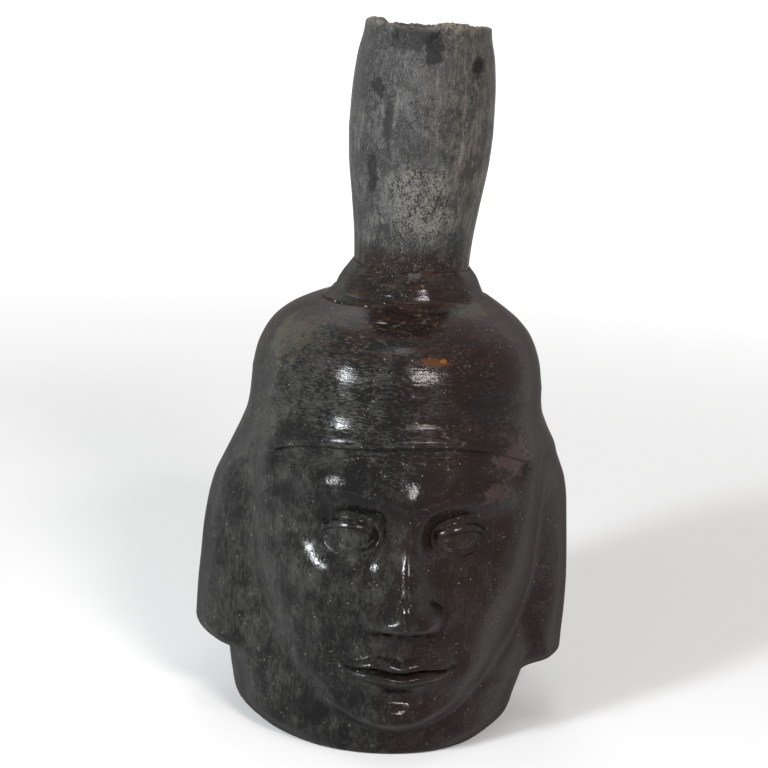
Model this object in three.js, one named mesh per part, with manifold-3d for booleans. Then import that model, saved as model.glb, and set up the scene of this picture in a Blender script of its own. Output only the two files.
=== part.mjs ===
// A bottle of dark burnished pottery in the shape of a head with a headcloth.
// It is built as a potter builds it: two pressed half shells, two side flaps, a floor, a collar and a neck.
// Millimetres, +Z up, the face towards -Y, the origin in the middle of the foot's underside.
import * as THREE from 'three';
import { mergeVertices } from 'three/addons/utils/BufferGeometryUtils.js';
import Module from 'manifold-3d';

const wasm = await Module();
wasm.setup();

// Driving dimensions of the head
const headHeight = 154.6; // foot to the flat top that carries the neck
const footHalfWidth = 42.5;
const footFrontDepth = 47.3; // axis to the front of the foot
const footBackDepth = 44;
const bellyHalfWidth = 54.1; // lower body, at the hem of the cloth
const bellyFrontDepth = 50;
const bellyBackDepth = 52;
const footLean = 1.3; // the foot stands a little to the left of the axis
const footLeanHeight = 8;
const footLeanReach = 14;
const chinHeight = 7; // foot to the underside of the chin
const faceDepth = 59.4; // axis to the plain oval of the face, without the nose

// Driving dimensions of the headcloth
const capHalfWidth = 51.3;
const capFrontDepth = 54.2;
const capBackDepth = 55.8;
const domeLean = 1; // how much lower the dome's left shoulder is than its middle, and higher the right one
const domeSag = 0.3; // how far the dome's edge sinks below the collar's seat
const waistHeight = 125; // foot to the shallow waist between the cap and the band
const bandHeight = 111.5; // foot to the lower edge of the band on the forehead
const bandFrontDepth = 57.4;
const flapStandOut = 13.1; // how far each flap stands out beyond the lower body
const leftFlapLift = -1.5; // how much higher than the middle course each flap begins
const rightFlapLift = 4.2;
const drapeBackDepth = 60.8; // axis to the back of the cloth at its hem
const leftHemHeight = 26.1;
const rightHemHeight = 22.6;
const leftHemCorner = 7.5; // rounding of the lower edge
const rightHemCorner = 4.5;
const frontHemCorner = 34; // beside the chin the hem fades into the body
const clothThickness = 1.2; // step from the face up to the cloth
const edgeRollRise = 0.9; // bead along the cloth's edge
const edgeRollWidth = 2.4;
const hemLedge = 0.6; // clay of the shells below each flap

// Driving dimensions of the neck, the collar and the walls
const rimHeight = 250; // foot to the highest point of the rim
const neckOffset = 2.2; // the neck stands a little to the right of the axis
const neckRootRadius = 20.3;
const neckSwellRadius = 25.1;
const neckRimRadius = 21.7;
const neckWall = 4;
const rimRounding = 1.6;
const rimWear = 3; // depth of the worst chip in the rim
const collarRadius = 27.2;
const collarTopRadius = 21.4;
const collarHeight = 11.1;
const shellWall = 5;
const carvingAllowance = 3.5; // spare clay behind the sockets and the mouth
const floorThickness = 6;
const luteGap = 0.3; // between pieces that touch
const overrun = 2; // how far a cutting solid runs past the clay

// Soft joins between neighbouring forms
const faceJoin = 2.6;
const clothJoin = 2;
const edgeJoin = 1.2;
const edgeStep = 0.9;
const templeJoin = 5; // the cloth's edge softens down the temples
const templeStep = 5;
const hemRise = 12; // above the hem the join grows to its full width

// Angles in degrees, 0 at the face and positive towards +X
const flapAngle = 91;
const flapFrontSpread = 27;
const flapBackSpread = 32;
const flapFrontReach = 25; // the flaps are cut off this far from their middle
const flapBackReach = 38;
const hemFadeTurn = [77, 58]; // the hem is full outside the first turn and faded inside the second
const flapTopShare = 0.885; // top of the flap pieces, as a share of bandHeight

// How finely the sections are taken
const faceSweep = 64;
const featureSweep = 33;
const featureColumns = 38;
const cheekColumns = 6;
const plainRowStep = 3.6;
const brimRowStep = 2;
const neckSides = 36;
const hollowSides = 28;
const hemRows = 4;
const cornerRows = 5;
const drapeRows = 7;
const bandRows = 4;
const waistRows = 3;
const domeRows = 7;
const hollowRows = 6;
const hollowDomeRows = 5;
const neckRows = 7;
const collarRows = 5;
const seamColumns = 4;
const hiddenColumns = 3; // behind the seam, where the other shell takes over
const rearColumns = 9;
const flapColumns = 14;
const coveredColumns = 6; // where a flap's sections are cut away again

// Outlines as shares: a place from 0 to 1, then a value from one named size to the next
const footCurveShares = [[0, 0], [0.1, 0.28], [0.3, 0.67], [0.6, 0.82], [1, 1]];
const bellySideShares = [
  [0, 1], [0.09, 0.99], [0.23, 0.953], [0.6, 0.925], [0.73, 0.87], [0.86, 0.7], [0.97, 0.37],
];
const bellyFrontShares = [[0, 1], [0.11, 0.96], [0.3, 0.88], [0.67, 0.76], [0.97, 0.4]];
const bellyBackShares = [[0, 1], [0.3, 0.99], [0.67, 0.96], [0.86, 0.77], [0.97, 0.4]];
const capShares = [
  [0, 1], [0.24, 0.95], [0.4, 0.886], [0.57, 0.778], [0.72, 0.604], [0.85, 0.362], [0.94, 0.157], [1, 0],
];
const bandShares = [[0, 0], [0.4, 0.62], [0.75, 0.97], [1, 1]];
const belowBandShares = [[0, 1], [0.125, 0.976], [0.26, 0.889], [0.56, 0.784], [1, 0.767]];
const clothSideShares = [[0, 0], [0.24, 0.07], [0.62, 0.25], [1, 1]];
const clothBackShares = [[0, 0], [0.24, 0.34], [0.62, 0.64], [0.9, 0.94], [1, 1]];
const flapShares = [
  [0, 0], [0.077, 0.025], [0.129, 0.075], [0.18, 0.2], [0.24, 0.375], [0.32, 0.6],
  [0.38, 0.75], [0.47, 0.865], [0.62, 0.95], [0.77, 1], [1, 1],
];
const neckSwellShares = [[0, 0], [0.12, 0], [0.2, 0.1], [0.337, 0.44], [0.5, 0.88], [0.6, 1]];
const neckRootShare = 0.12;
const neckRimShares = [[0.6, 0], [0.725, 0.07], [0.85, 0.36], [0.97, 0.95], [1, 1]];
const collarShares = [[0, 0], [0.2, 0.26], [0.45, 0.56], [0.75, 0.86], [1, 1]];
const rimWearShares = [
  [-180, 0.9], [-120, 0.85], [-95, 0.4], [-80, 0.05], [-62, 0], [-52, 0.55], [-48, 0.62], [-8, 0.72],
  [-3, 0.66], [2, 0.1], [10, 0], [32, 0.04], [38, 0.28], [66, 0.34], [90, 0.6], [120, 0.85], [180, 0.9],
];

// The face: lengths and heights are shares of the height from the chin to the top of the head
const faceHeight = headHeight - chinHeight;
const eyeLevelShare = 0.493;
const browLevelShare = 0.585;
const noseLevelShare = 0.292;
const mouthLevelShare = 0.194;
const faceHalfWidthShare = 0.333;
const faceTopShare = 0.8875;
const faceProfileShares = [
  [-0.05, 0.943], [0.02, 0.976], [0.061, 0.993], [0.115, 0.97], [0.183, 0.997], [0.278, 1], [0.373, 0.993],
  [0.48, 0.973], [0.562, 0.973], [0.63, 0.963], [0.705, 0.936], [0.78, 0.86], [0.867, 0.64],
];
const faceOvalShares = { jawPower: 2.4, jawRound: 0.526, browPower: 3.2, browRound: 0.42, chinPower: 14 };
const faceCentreShares = { at: 0.337, more: 0.168, from: 0.373, to: 0.047 };
// Rows below the hem as shares of its height
const chinRowShares = [0, 0.18, 0.33, 0.45, 0.6, 0.8];
// Bands of the face with closer rows: middle, half height and number
const fineRowShares = [[0.194, 0.046, 10], [0.302, 0.03, 5], [0.494, 0.062, 12]];
const faceFadeShares = { from: 0.505, to: 0.741, turnPower: 0.4 };
const brimShares = { thin: 0.65, full: 0.9, soft: 0.88, crisp: 0.95, core: 0.8 }; // of bandHeight
const openingShares = { wide: 0.7175, inset: 0.02, power: 3.4, depth: 0.9, limit: 1.3 };

// Soft masses and hollows that are laid on before the eyes, and after them
const massShares = [
  { name: 'cheek', side: 0.192, up: 0.381, wide: 0.082, tall: 0.082, rise: 0.0137, power: 2 },
  { name: 'cheek hollow', side: 0.24, up: 0.235, wide: 0.062, tall: 0.082, rise: -0.0123, power: 2 },
  { name: 'muzzle', side: 0, up: 0.221, wide: 0.13, tall: 0.089, rise: 0.011, power: 2 },
  { name: 'chin', side: 0, up: 0.062, wide: 0.082, tall: 0.048, rise: 0.019, power: 2.2 },
  { name: 'chin hollow', side: 0, up: 0.122, wide: 0.089, tall: 0.0247, rise: -0.011, power: 2 },
  { name: 'temple', side: 0.295, up: 0.612, wide: 0.062, tall: 0.082, rise: -0.0082, power: 2 },
  { name: 'brow middle', side: 0, up: 0.585, wide: 0.055, tall: 0.041, rise: 0.0082, power: 2 },
  { name: 'socket', side: 0.14, up: 0.504, wide: 0.0925, tall: 0.06, rise: -0.0384, power: 2.3 },
  { name: 'inner corner', side: 0.072, up: 0.508, wide: 0.0315, tall: 0.041, rise: -0.015, power: 2 },
];
const detailShares = [
  { name: 'wing of the nose', side: 0.0575, up: 0.319, wide: 0.034, tall: 0.0336, rise: 0.0315, power: 2.8 },
  { name: 'nostril', side: 0.0356, up: 0.293, wide: 0.017, tall: 0.012, rise: -0.02, power: 2 },
  { name: 'mouth corner', side: 0.138, up: 0.195, wide: 0.018, tall: 0.018, rise: -0.006, power: 2 },
];
const browShares = {
  side: 0.151, span: 0.123, up: 0.018, droop: 0.029, tall: 0.03, rise: 0.0103,
  inFrom: 0.02, inTo: 0.082, outFrom: 0.205, outTo: 0.288,
};
const eyeShares = {
  side: 0.1387, half: 0.0667, ball: 0.0904, sink: 0.011, turn: 0.035, tilt: 0.06, join: 0.009,
  upper: 0.0253, upperLean: 0.08, upperPower: 2.2, upperCurve: 0.85, upperLid: 0.0116, upperFade: 0.062,
  lower: 0.0199, lowerLean: 0.05, lowerPower: 2.4, lowerCurve: 0.9, lowerLid: 0.0079, lowerFade: 0.034,
  edgeIn: -0.0055, edgeOut: 0.006, reach: 0.985,
  crease: 0.02, creaseDepth: 0.004, creaseWidth: 0.008, creaseFrom: 0.84, creaseTo: 1.24,
};
const noseRiseShares = [
  [-0.0205, 0], [-0.0055, 0.0082], [0.0041, 0.0445], [0.0164, 0.0753], [0.0384, 0.0932], [0.0658, 0.089],
  [0.107, 0.0671], [0.162, 0.0425], [0.222, 0.0247], [0.293, 0.011], [0.348, 0],
];
const noseWidthShares = [
  [-0.0137, 0.0514], [0.0384, 0.052], [0.0726, 0.048], [0.1205, 0.0438], [0.215, 0.0384],
  [0.293, 0.0548], [0.348, 0.0753],
];
const nosePowerShare = 1.9;
const wingGrooveShares = {
  side: 0.0562, up: 0.0274, radius: 0.0473, width: 0.0095, depth: 0.0062, from: 0.048, to: 0.075,
};
const lipGrooveShares = {
  low: 0.0274, full: 0.048, end: 0.0205, side: 0.0226, width: 0.0103,
  rise: 0.0034, dip: 0.0048, dipWidth: 0.013,
};
const foldShares = {
  side: 0.082, more: 0.055, top: 0.0274, foot: 0.0137, width: 0.0178, depth: 0.0034, fade: 0.041,
};
const lipShares = {
  half: 0.127, upper: 0.041, bow: 0.0062, bowWidth: 0.015,
  upperCurve: 0.75, upperRise: 0.0205, upperRound: 0.62,
  lower: 0.048, lowerCurve: 0.7, lowerRise: 0.024, lowerRound: 0.68, fullness: 0.55,
  wave: 0.002, waveSide: 0.055, waveWidth: 0.0274, middleWidth: 0.024,
  lift: 0.0017, liftFrom: 0.082, liftTo: 0.123,
  parting: 0.0082, partingWidth: 0.0085, endFrom: -0.0068, endTo: 0.017, least: 0.0003,
};

// Colours and finishes
const burnishedClay = new THREE.MeshStandardMaterial({ color: 0x221c18, roughness: 0.32, metalness: 0 });
const wornClay = new THREE.MeshStandardMaterial({ color: 0x3b352e, roughness: 0.7, metalness: 0 });

const degree = Math.PI / 180;
const { abs, atan2, cos, hypot, max, min, sin, sqrt } = Math;

function clamp(value, low, high) {
  return min(max(value, low), high);
}

function mix(first, second, share) {
  return first + (second - first) * share;
}

function smoothstep(from, to, value) {
  const t = clamp((value - from) / (to - from), 0, 1);
  return t * t * (3 - 2 * t);
}

// The larger of two values, with a rounded join of the given width
function softMax(first, second, join) {
  const t = clamp(0.5 + 0.5 * (first - second) / join, 0, 1);
  return mix(second, first, t) + join * t * (1 - t);
}

function bell(distance, power = 2) {
  return Math.exp(-(abs(distance) ** power));
}

// A curve through hand-chosen points that never overshoots them
function outline(points) {
  const steps = points.slice(1).map((point, i) => point[0] - points[i][0]);
  const rises = steps.map((step, i) => (points[i + 1][1] - points[i][1]) / step);
  const slopes = points.map((_, i) => {
    if (i === 0) return rises[0];
    if (i === rises.length) return rises[i - 1];
    if (rises[i - 1] * rises[i] <= 0) return 0;
    const before = 2 * steps[i] + steps[i - 1];
    const after = steps[i] + 2 * steps[i - 1];
    return (before + after) / (before / rises[i - 1] + after / rises[i]);
  });
  return (place) => {
    const at = clamp(place, points[0][0], points[points.length - 1][0]);
    const next = points.findIndex((point, k) => k > 0 && at <= point[0]);
    const i = next - 1;
    const t = (at - points[i][0]) / steps[i];
    return points[i][1] * (1 + 2 * t) * (1 - t) ** 2 + slopes[i] * steps[i] * t * (1 - t) ** 2
      + points[next][1] * t * t * (3 - 2 * t) + slopes[next] * steps[i] * t * t * (t - 1);
  };
}

const footCurve = outline(footCurveShares);
const bellySide = outline(bellySideShares);
const bellyFront = outline(bellyFrontShares);
const bellyBack = outline(bellyBackShares);
const capCurve = outline(capShares);
const bandCurve = outline(bandShares);
const belowBand = outline(belowBandShares);
const clothSide = outline(clothSideShares);
const clothBack = outline(clothBackShares);
const flapCurve = outline(flapShares);
const neckSwell = outline(neckSwellShares);
const neckRim = outline(neckRimShares);
const collarCurve = outline(collarShares);
const rimWearCurve = outline(rimWearShares);
const faceProfile = outline(faceProfileShares);
const noseRise = outline(noseRiseShares);
const noseWidth = outline(noseWidthShares);

// Radius of an oval section with its own half width, front and back
function ovalRadius(angle, side, front, back, power) {
  const across = abs(sin(angle)) / side;
  const along = abs(cos(angle)) / (cos(angle) > 0 ? front : back);
  return (across ** power + along ** power) ** (-1 / power);
}

const bodyPower = 2.1;
const clothPower = 2.12;
const domePower = 4; // how close to the top the dome's lean begins
const sideBlend = 0.5; // how softly the left side's sizes turn into the right side's

// The left flap ends a little higher and rounder than the right one
function leftness(angle) {
  return smoothstep(-sideBlend, sideBlend, -sin(angle));
}

function hemHeight(angle) {
  return mix(rightHemHeight, leftHemHeight, leftness(angle));
}

// One side of the lower body: out from the foot to the hem, then in under the cloth
function bodyHalf(z, foot, belly, above) {
  if (z < rightHemHeight) return mix(foot, belly, footCurve(z / rightHemHeight));
  return belly * above((z - rightHemHeight) / (headHeight - rightHemHeight));
}

function bodyRadius(angle, z) {
  const side = bodyHalf(z, footHalfWidth, bellyHalfWidth, bellySide);
  const front = bodyHalf(z, footFrontDepth, bellyFrontDepth, bellyFront);
  const back = bodyHalf(z, footBackDepth, bellyBackDepth, bellyBack);
  const lean = footLean * sin(angle) * bell((z - footLeanHeight) / footLeanReach);
  return ovalRadius(angle, side, front, back, bodyPower) - lean;
}

// How far up the cap a height is, from 0 at the waist to 1 at the collar's seat
function capRise(z) {
  return clamp((z - waistHeight) / (headHeight - waistHeight), 0, 1);
}

function capHalf(z, half) {
  return mix(collarRadius, half, capCurve(capRise(z)));
}

// How far down the cloth a height is, from 0 at the waist to 1 at the hem
function fall(z) {
  return clamp((waistHeight - z) / (waistHeight - rightHemHeight), 0, 1);
}

function clothFrontDepth(z) {
  if (z > waistHeight) return capHalf(z, capFrontDepth);
  if (z > bandHeight) {
    return mix(capFrontDepth, bandFrontDepth, bandCurve((waistHeight - z) / (waistHeight - bandHeight)));
  }
  return bandFrontDepth * belowBand(clamp((bandHeight - z) / (bandHeight - rightHemHeight), 0, 1));
}

function clothSideWidth(z) {
  if (z > waistHeight) return capHalf(z, capHalfWidth);
  return mix(capHalfWidth, bellyHalfWidth, clothSide(fall(z)));
}

function clothBackDepthAt(z) {
  if (z > waistHeight) return capHalf(z, capBackDepth);
  return mix(capBackDepth, drapeBackDepth, clothBack(fall(z)));
}

// The dome leans a little towards the left and sags round the collar, and its flat top lies under the collar
function clothRadius(angle, z, flapped) {
  const top = capRise(z) ** domePower;
  const level = z + (domeSag - domeLean * sin(angle)) * top;
  const [side, front, back] = [clothSideWidth(level), clothFrontDepth(level), clothBackDepthAt(level)];
  const radius = ovalRadius(angle, side, front, back, clothPower) + neckOffset * sin(angle) * top;
  if (!flapped) return radius;
  const lift = mix(rightFlapLift, leftFlapLift, leftness(angle));
  const reach = (bellyHalfWidth + flapStandOut - capHalfWidth) * flapCurve(fall(z - lift));
  const growth = max(reach - (bellyHalfWidth - capHalfWidth) * clothSide(fall(z)), 0);
  const from = abs(angle) - flapAngle * degree;
  const spread = mix(flapFrontSpread, flapBackSpread, smoothstep(-sideBlend, sideBlend, from)) * degree;
  return radius + growth * bell(from / spread);
}

// Half width of the face's plain oval at a height above the chin, all as shares
function faceHalf(v) {
  const down = clamp((eyeLevelShare - v) / eyeLevelShare, 0, 1);
  const up = clamp((v - eyeLevelShare) / (faceTopShare - eyeLevelShare), 0, 1);
  const s = faceOvalShares;
  return faceHalfWidthShare * (1 - down ** s.jawPower) ** s.jawRound * (1 - up ** s.browPower) ** s.browRound;
}

// Radius of the face's plain oval, an ellipse round a centre in front of the axis
function faceRadius(angle, z) {
  const v = (z - chinHeight) / faceHeight;
  if (v < 0 || v >= faceTopShare || cos(angle) <= 0) return 0;
  const centreShare = faceCentreShares.at
    + faceCentreShares.more * smoothstep(faceCentreShares.from, faceCentreShares.to, v);
  const centre = faceDepth * centreShare;
  const down = clamp((eyeLevelShare - v) / eyeLevelShare, 0, 1);
  const half = max(faceHeight * faceHalf(v), luteGap);
  const rounding = sqrt(1 - down ** faceOvalShares.chinPower);
  const depth = max(faceDepth * (faceProfile(v) - centreShare) * rounding, luteGap);
  const a = (sin(angle) / half) ** 2 + (cos(angle) / depth) ** 2;
  const b = -2 * cos(angle) * centre / depth ** 2;
  const c = (centre / depth) ** 2 - 1;
  const root = b * b - 4 * a * c;
  return root > 0 ? max((-b + sqrt(root)) / (2 * a), 0) : 0;
}

// A soft mass or hollow, mirrored on both sides of the face
function mound(u, v, shares) {
  const apart = hypot((u - shares.side) / shares.wide, (v - shares.up) / shares.tall);
  return shares.rise * bell(apart, shares.power);
}

function brow(u, v) {
  const s = browShares;
  const arch = browLevelShare + s.up - s.droop * ((u - s.side) / s.span) ** 2;
  const ends = smoothstep(s.inFrom, s.inTo, u) * (1 - smoothstep(s.outFrom, s.outTo, u));
  return s.rise * bell((v - arch) / s.tall) * ends;
}

// Lays the eyeball and its two lids over the socket, with a crease above
function withEye(rise, u, v) {
  const s = eyeShares;
  const across = u - s.side;
  const level = eyeLevelShare + s.tilt * across;
  const place = clamp(across / s.half, -1, 1);
  const top = level + s.upper * max(1 - abs(place + s.upperLean) ** s.upperPower, 0) ** s.upperCurve;
  const bottom = level - s.lower * max(1 - abs(place - s.lowerLean) ** s.lowerPower, 0) ** s.lowerCurve;
  const apart = hypot(across, v - eyeLevelShare);
  let result = rise;
  if (apart < s.ball * s.reach) {
    const ball = sqrt(max(s.ball ** 2 - apart ** 2, 0)) - s.ball - s.sink - s.turn * across;
    const open = abs(across) < s.half ? smoothstep(s.edgeIn, s.edgeOut, min(top - v, v - bottom)) : 0;
    const lid = v > level
      ? s.upperLid * bell(max(v - top, 0) / s.upperFade)
      : s.lowerLid * bell(max(bottom - v, 0) / s.lowerFade);
    result = softMax(rise, ball + lid * (1 - open), s.join);
  }
  const ends = 1 - smoothstep(s.creaseFrom * s.half, s.creaseTo * s.half, abs(across));
  return result - s.creaseDepth * bell((v - top - s.crease) / s.creaseWidth) * ends;
}

function nose(u, v) {
  const w = wingGrooveShares;
  const ridge = noseRise(v - noseLevelShare) * bell(u / noseWidth(v - noseLevelShare), nosePowerShare);
  const ring = hypot(u - w.side, v - noseLevelShare - w.up) - w.radius;
  return ridge - w.depth * bell(ring / w.width) * smoothstep(w.from, w.to, u);
}

// The groove from the nose to the upper lip, and the faint fold from the nose to the mouth's corner
function lipGroove(u, v) {
  const s = lipGrooveShares;
  const within = smoothstep(mouthLevelShare + s.low, mouthLevelShare + s.full, v)
    * (1 - smoothstep(noseLevelShare - s.end, noseLevelShare, v));
  return within * (s.rise * bell((u - s.side) / s.width) - s.dip * bell(u / s.dipWidth));
}

function fold(u, v) {
  const s = foldShares;
  const side = s.side + s.more * smoothstep(noseLevelShare + s.top, mouthLevelShare + s.foot, v);
  const within = smoothstep(mouthLevelShare - s.foot, mouthLevelShare + s.fade, v)
    * (1 - smoothstep(noseLevelShare, noseLevelShare + s.fade, v));
  return -s.depth * bell((u - side) / s.width) * within;
}

function lips(u, v) {
  const s = lipShares;
  const within = max(1 - (u / s.half) ** 2, 0);
  const line = mouthLevelShare + s.wave * (bell((u - s.waveSide) / s.waveWidth) - bell(u / s.middleWidth))
    + s.lift * smoothstep(s.liftFrom, s.liftTo, u);
  const upper = max((s.upper - s.bow * bell(u / s.bowWidth)) * within ** s.upperCurve, s.least);
  const lower = max(s.lower * within ** s.lowerCurve, s.least);
  const above = clamp((v - line) / upper, 0, 1);
  const below = clamp((line - v) / lower, 0, 1);
  const round = v >= line
    ? s.upperRise * sin(Math.PI * above ** s.upperRound)
    : s.lowerRise * sin(Math.PI * below ** s.lowerRound);
  const ends = 1 - smoothstep(s.half + s.endFrom, s.half + s.endTo, u);
  return round * within ** s.fullness - s.parting * bell((v - line) / s.partingWidth) * ends;
}

// How far the face stands out from its plain oval
function carving(x, z) {
  const u = abs(x) / faceHeight;
  const v = (z - chinHeight) / faceHeight;
  const masses = massShares.reduce((sum, shares) => sum + mound(u, v, shares), brow(u, v));
  const details = detailShares.reduce((sum, shares) => sum + mound(u, v, shares), 0);
  const mouth = lipGroove(u, v) + fold(u, v) + lips(u, v);
  return faceHeight * (withEye(masses, u, v) + nose(u, v) + details + mouth);
}

// Distance inside the cloth's edge round the face, negative under the cloth
function insideOpening(x, z) {
  const s = openingShares;
  const wide = bandHeight * s.wide;
  const up = clamp((z - wide) / (bandHeight - wide), 0, s.limit);
  const half = faceHeight * faceHalfWidthShare * (1 - s.inset);
  const ring = ((abs(x) / half) ** s.power + up ** s.power) ** (1 / s.power);
  return (1 - ring) * (bandHeight - wide) * s.depth;
}

// The whole outer surface: body, face and headcloth
function headRadius(angle, z, flapped = true) {
  const body = bodyRadius(angle, z);
  const face = faceRadius(angle, z);
  const fade = smoothstep(faceDepth * faceFadeShares.from, faceDepth * faceFadeShares.to, face);
  const frontal = fade * max(cos(angle), 0) ** faceFadeShares.turnPower;
  const carved = face + (face > 0 ? carving(face * sin(angle), z) * frontal : 0);
  const head = softMax(body, carved, faceJoin);
  const hem = hemHeight(angle);
  if (z <= hem) return head;
  const plain = softMax(body, face, faceJoin);
  const thick = clothThickness * smoothstep(bandHeight * brimShares.thin, bandHeight * brimShares.full, z);
  const brim = smoothstep(bandHeight * brimShares.soft, bandHeight * brimShares.crisp, z);
  let cloth = softMax(clothRadius(angle, z, flapped), plain + thick, clothJoin);
  if (cos(angle) > 0) {
    const inside = insideOpening(plain * sin(angle), z);
    const step = mix(templeStep, edgeStep, brim);
    cloth += edgeRollRise * bell((inside + edgeRollWidth) / edgeRollWidth) * brim;
    cloth -= 2 * shellWall * smoothstep(-edgeStep, 2 * step - edgeStep, inside);
  }
  const front = smoothstep(hemFadeTurn[0] * degree, hemFadeTurn[1] * degree, abs(angle));
  const corner = mix(mix(rightHemCorner, leftHemCorner, leftness(angle)), frontHemCorner, front);
  const t = clamp((z - hem) / corner, 0, 1);
  cloth = body + (cloth - body) * mix(sqrt(1 - (1 - t) ** 2), smoothstep(0, 1, t), front);
  const join = mix(templeJoin, edgeJoin, brim) * smoothstep(0, hemRise, z - hem);
  return softMax(head, cloth, max(join, luteGap));
}

// The hollow inside: an even wall behind the body, the plain face and the cap
function coreRadius(angle, z) {
  const share = smoothstep(bandHeight * brimShares.core, waistHeight, z);
  const side = mix(bodyHalf(z, footHalfWidth, bellyHalfWidth, bellySide), clothSideWidth(z), share);
  const front = mix(bodyHalf(z, footFrontDepth, bellyFrontDepth, bellyFront), clothFrontDepth(z), share);
  const back = mix(bodyHalf(z, footBackDepth, bellyBackDepth, bellyBack), clothBackDepthAt(z), share);
  const plain = ovalRadius(angle, side, front, back, bodyPower);
  return softMax(plain, faceRadius(angle, z) - carvingAllowance, faceJoin);
}

function hollowRadius(angle, z) {
  const level = max(z, 0);
  return min(coreRadius(angle, level) - shellWall, coreRadius(angle, min(level + shellWall, headHeight)));
}

// A list from one value up to another, without the last
function evenly(from, to, count) {
  return Array.from({ length: count }, (_, i) => mix(from, to, i / count));
}

// Heights up the face, closer together at the mouth, the nose, the eyes and the brim
function faceLevels(low, high) {
  const stops = fineRowShares.flatMap(([middle, half, count]) => {
    const [from, to] = [middle - half, middle + half].map((share) => chinHeight + faceHeight * share);
    return evenly(from, to, count);
  });
  const soft = bandHeight * brimShares.soft;
  const inFineRows = (z) => {
    const share = (z - chinHeight) / faceHeight;
    return fineRowShares.some(([middle, half]) => abs(share - middle) < half);
  };
  const plain = evenly(low, soft, Math.ceil((soft - low) / plainRowStep)).filter((z) => !inFineRows(z));
  const brim = evenly(soft, high, Math.ceil((high - soft) / brimRowStep));
  const levels = [...plain, ...stops.filter((z) => z > low && z < soft), ...brim].sort((a, b) => a - b);
  return levels.filter((z, i) => i === 0 || z - levels[i - 1] > 2 * luteGap);
}

// Heights up the dome, closer together towards its flat top
function domeLevels(count) {
  return Array.from({ length: count }, (_, i) => mix(waistHeight, headHeight, sin((i / count) * Math.PI / 2)));
}

// A closed solid whose sections at the given heights have the given radius at each angle
function loft(radiusAt, angles, heights) {
  const points = [];
  const triangles = [];
  const around = angles.length;
  const reach = (corner) => hypot(points[3 * corner], points[3 * corner + 1]);
  for (const z of heights) {
    for (const angle of angles) {
      const radius = radiusAt(angle * degree, z);
      points.push(radius * sin(angle * degree), -radius * cos(angle * degree), z);
    }
  }
  for (let row = 0; row + 1 < heights.length; row += 1) {
    for (let i = 0; i < around; i += 1) {
      const here = row * around + i;
      const next = row * around + (i + 1) % around;
      const [first, second, third, fourth] = [here, next, next + around, here + around];
      const split = reach(first) + reach(third) > reach(second) + reach(fourth);
      if (split) triangles.push(first, second, third, first, third, fourth);
      else triangles.push(first, second, fourth, second, third, fourth);
    }
  }
  const low = points.length / 3;
  points.push(0, 0, heights[0], 0, 0, heights[heights.length - 1]);
  const top = (heights.length - 1) * around;
  for (let i = 0; i < around; i += 1) {
    const next = (i + 1) % around;
    triangles.push(low, next, i, low + 1, top + i, top + next);
  }
  return new wasm.Manifold(new wasm.Mesh({
    numProp: 3,
    vertProperties: new Float32Array(points),
    triVerts: new Uint32Array(triangles),
  }));
}

// A three.js geometry as a solid that can be cut and joined
function solid(geometry) {
  const bare = geometry.clone();
  bare.deleteAttribute('normal');
  bare.deleteAttribute('uv');
  const merged = mergeVertices(bare);
  return new wasm.Manifold(new wasm.Mesh({
    numProp: 3,
    vertProperties: new Float32Array(merged.attributes.position.array),
    triVerts: new Uint32Array(merged.index.array),
  }));
}

function mesh(name, piece, material) {
  const { vertProperties, triVerts } = piece.getMesh();
  const geometry = new THREE.BufferGeometry();
  geometry.setAttribute('position', new THREE.BufferAttribute(vertProperties, 3));
  geometry.setIndex(new THREE.BufferAttribute(triVerts, 1));
  geometry.computeVertexNormals();
  const result = new THREE.Mesh(geometry, material);
  result.name = name;
  return result;
}

// A block that holds everything in front of the seam, or behind it
function halfSpace(sign) {
  const size = 2 * headHeight;
  const block = new THREE.BoxGeometry(size, size, size + overrun);
  block.translate(0, sign * (size / 2 + luteGap / 2), headHeight / 2);
  return solid(block);
}

// The wedge round the axis that a side flap fills, or its pocket in the shells when slack is 0
function flapWedge(side, low, slack) {
  const inset = slack / capHalfWidth;
  const front = (flapAngle - flapFrontReach) * degree + inset;
  const back = (flapAngle + flapBackReach) * degree - inset;
  const reach = 2 * (bellyHalfWidth + flapStandOut);
  const corners = [[0, 0], [reach * sin(front), -reach * cos(front)], [reach * sin(back), -reach * cos(back)]];
  const shape = new THREE.Shape(corners.map(([x, y]) => new THREE.Vector2(side * x, y)));
  const top = bandHeight * flapTopShare - slack;
  const wedge = new THREE.ExtrudeGeometry(shape, { depth: top - low - slack, bevelEnabled: false });
  wedge.translate(0, 0, low + slack);
  return solid(wedge);
}

const fullTurn = 360;
const halfTurn = 180;
const seamAngle = 90;
const rearLevels = [
  ...evenly(0, rightHemHeight, hemRows),
  ...evenly(rightHemHeight, leftHemHeight + hemLedge, hemRows),
  ...evenly(leftHemHeight + hemLedge, leftHemHeight + leftHemCorner, cornerRows),
  ...evenly(leftHemHeight + leftHemCorner, bandHeight, drapeRows),
  ...evenly(bandHeight, waistHeight, waistRows),
  ...domeLevels(domeRows),
  headHeight,
];
const frontLevels = [
  ...chinRowShares.map((share) => rightHemHeight * share),
  ...evenly(rightHemHeight, leftHemHeight + hemLedge, hemRows),
  ...faceLevels(leftHemHeight + hemLedge, bandHeight - edgeRollWidth),
  ...evenly(bandHeight - edgeRollWidth, bandHeight + edgeRollWidth, bandRows),
  ...evenly(bandHeight + edgeRollWidth, waistHeight, waistRows),
  ...domeLevels(domeRows),
  headHeight,
];
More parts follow.
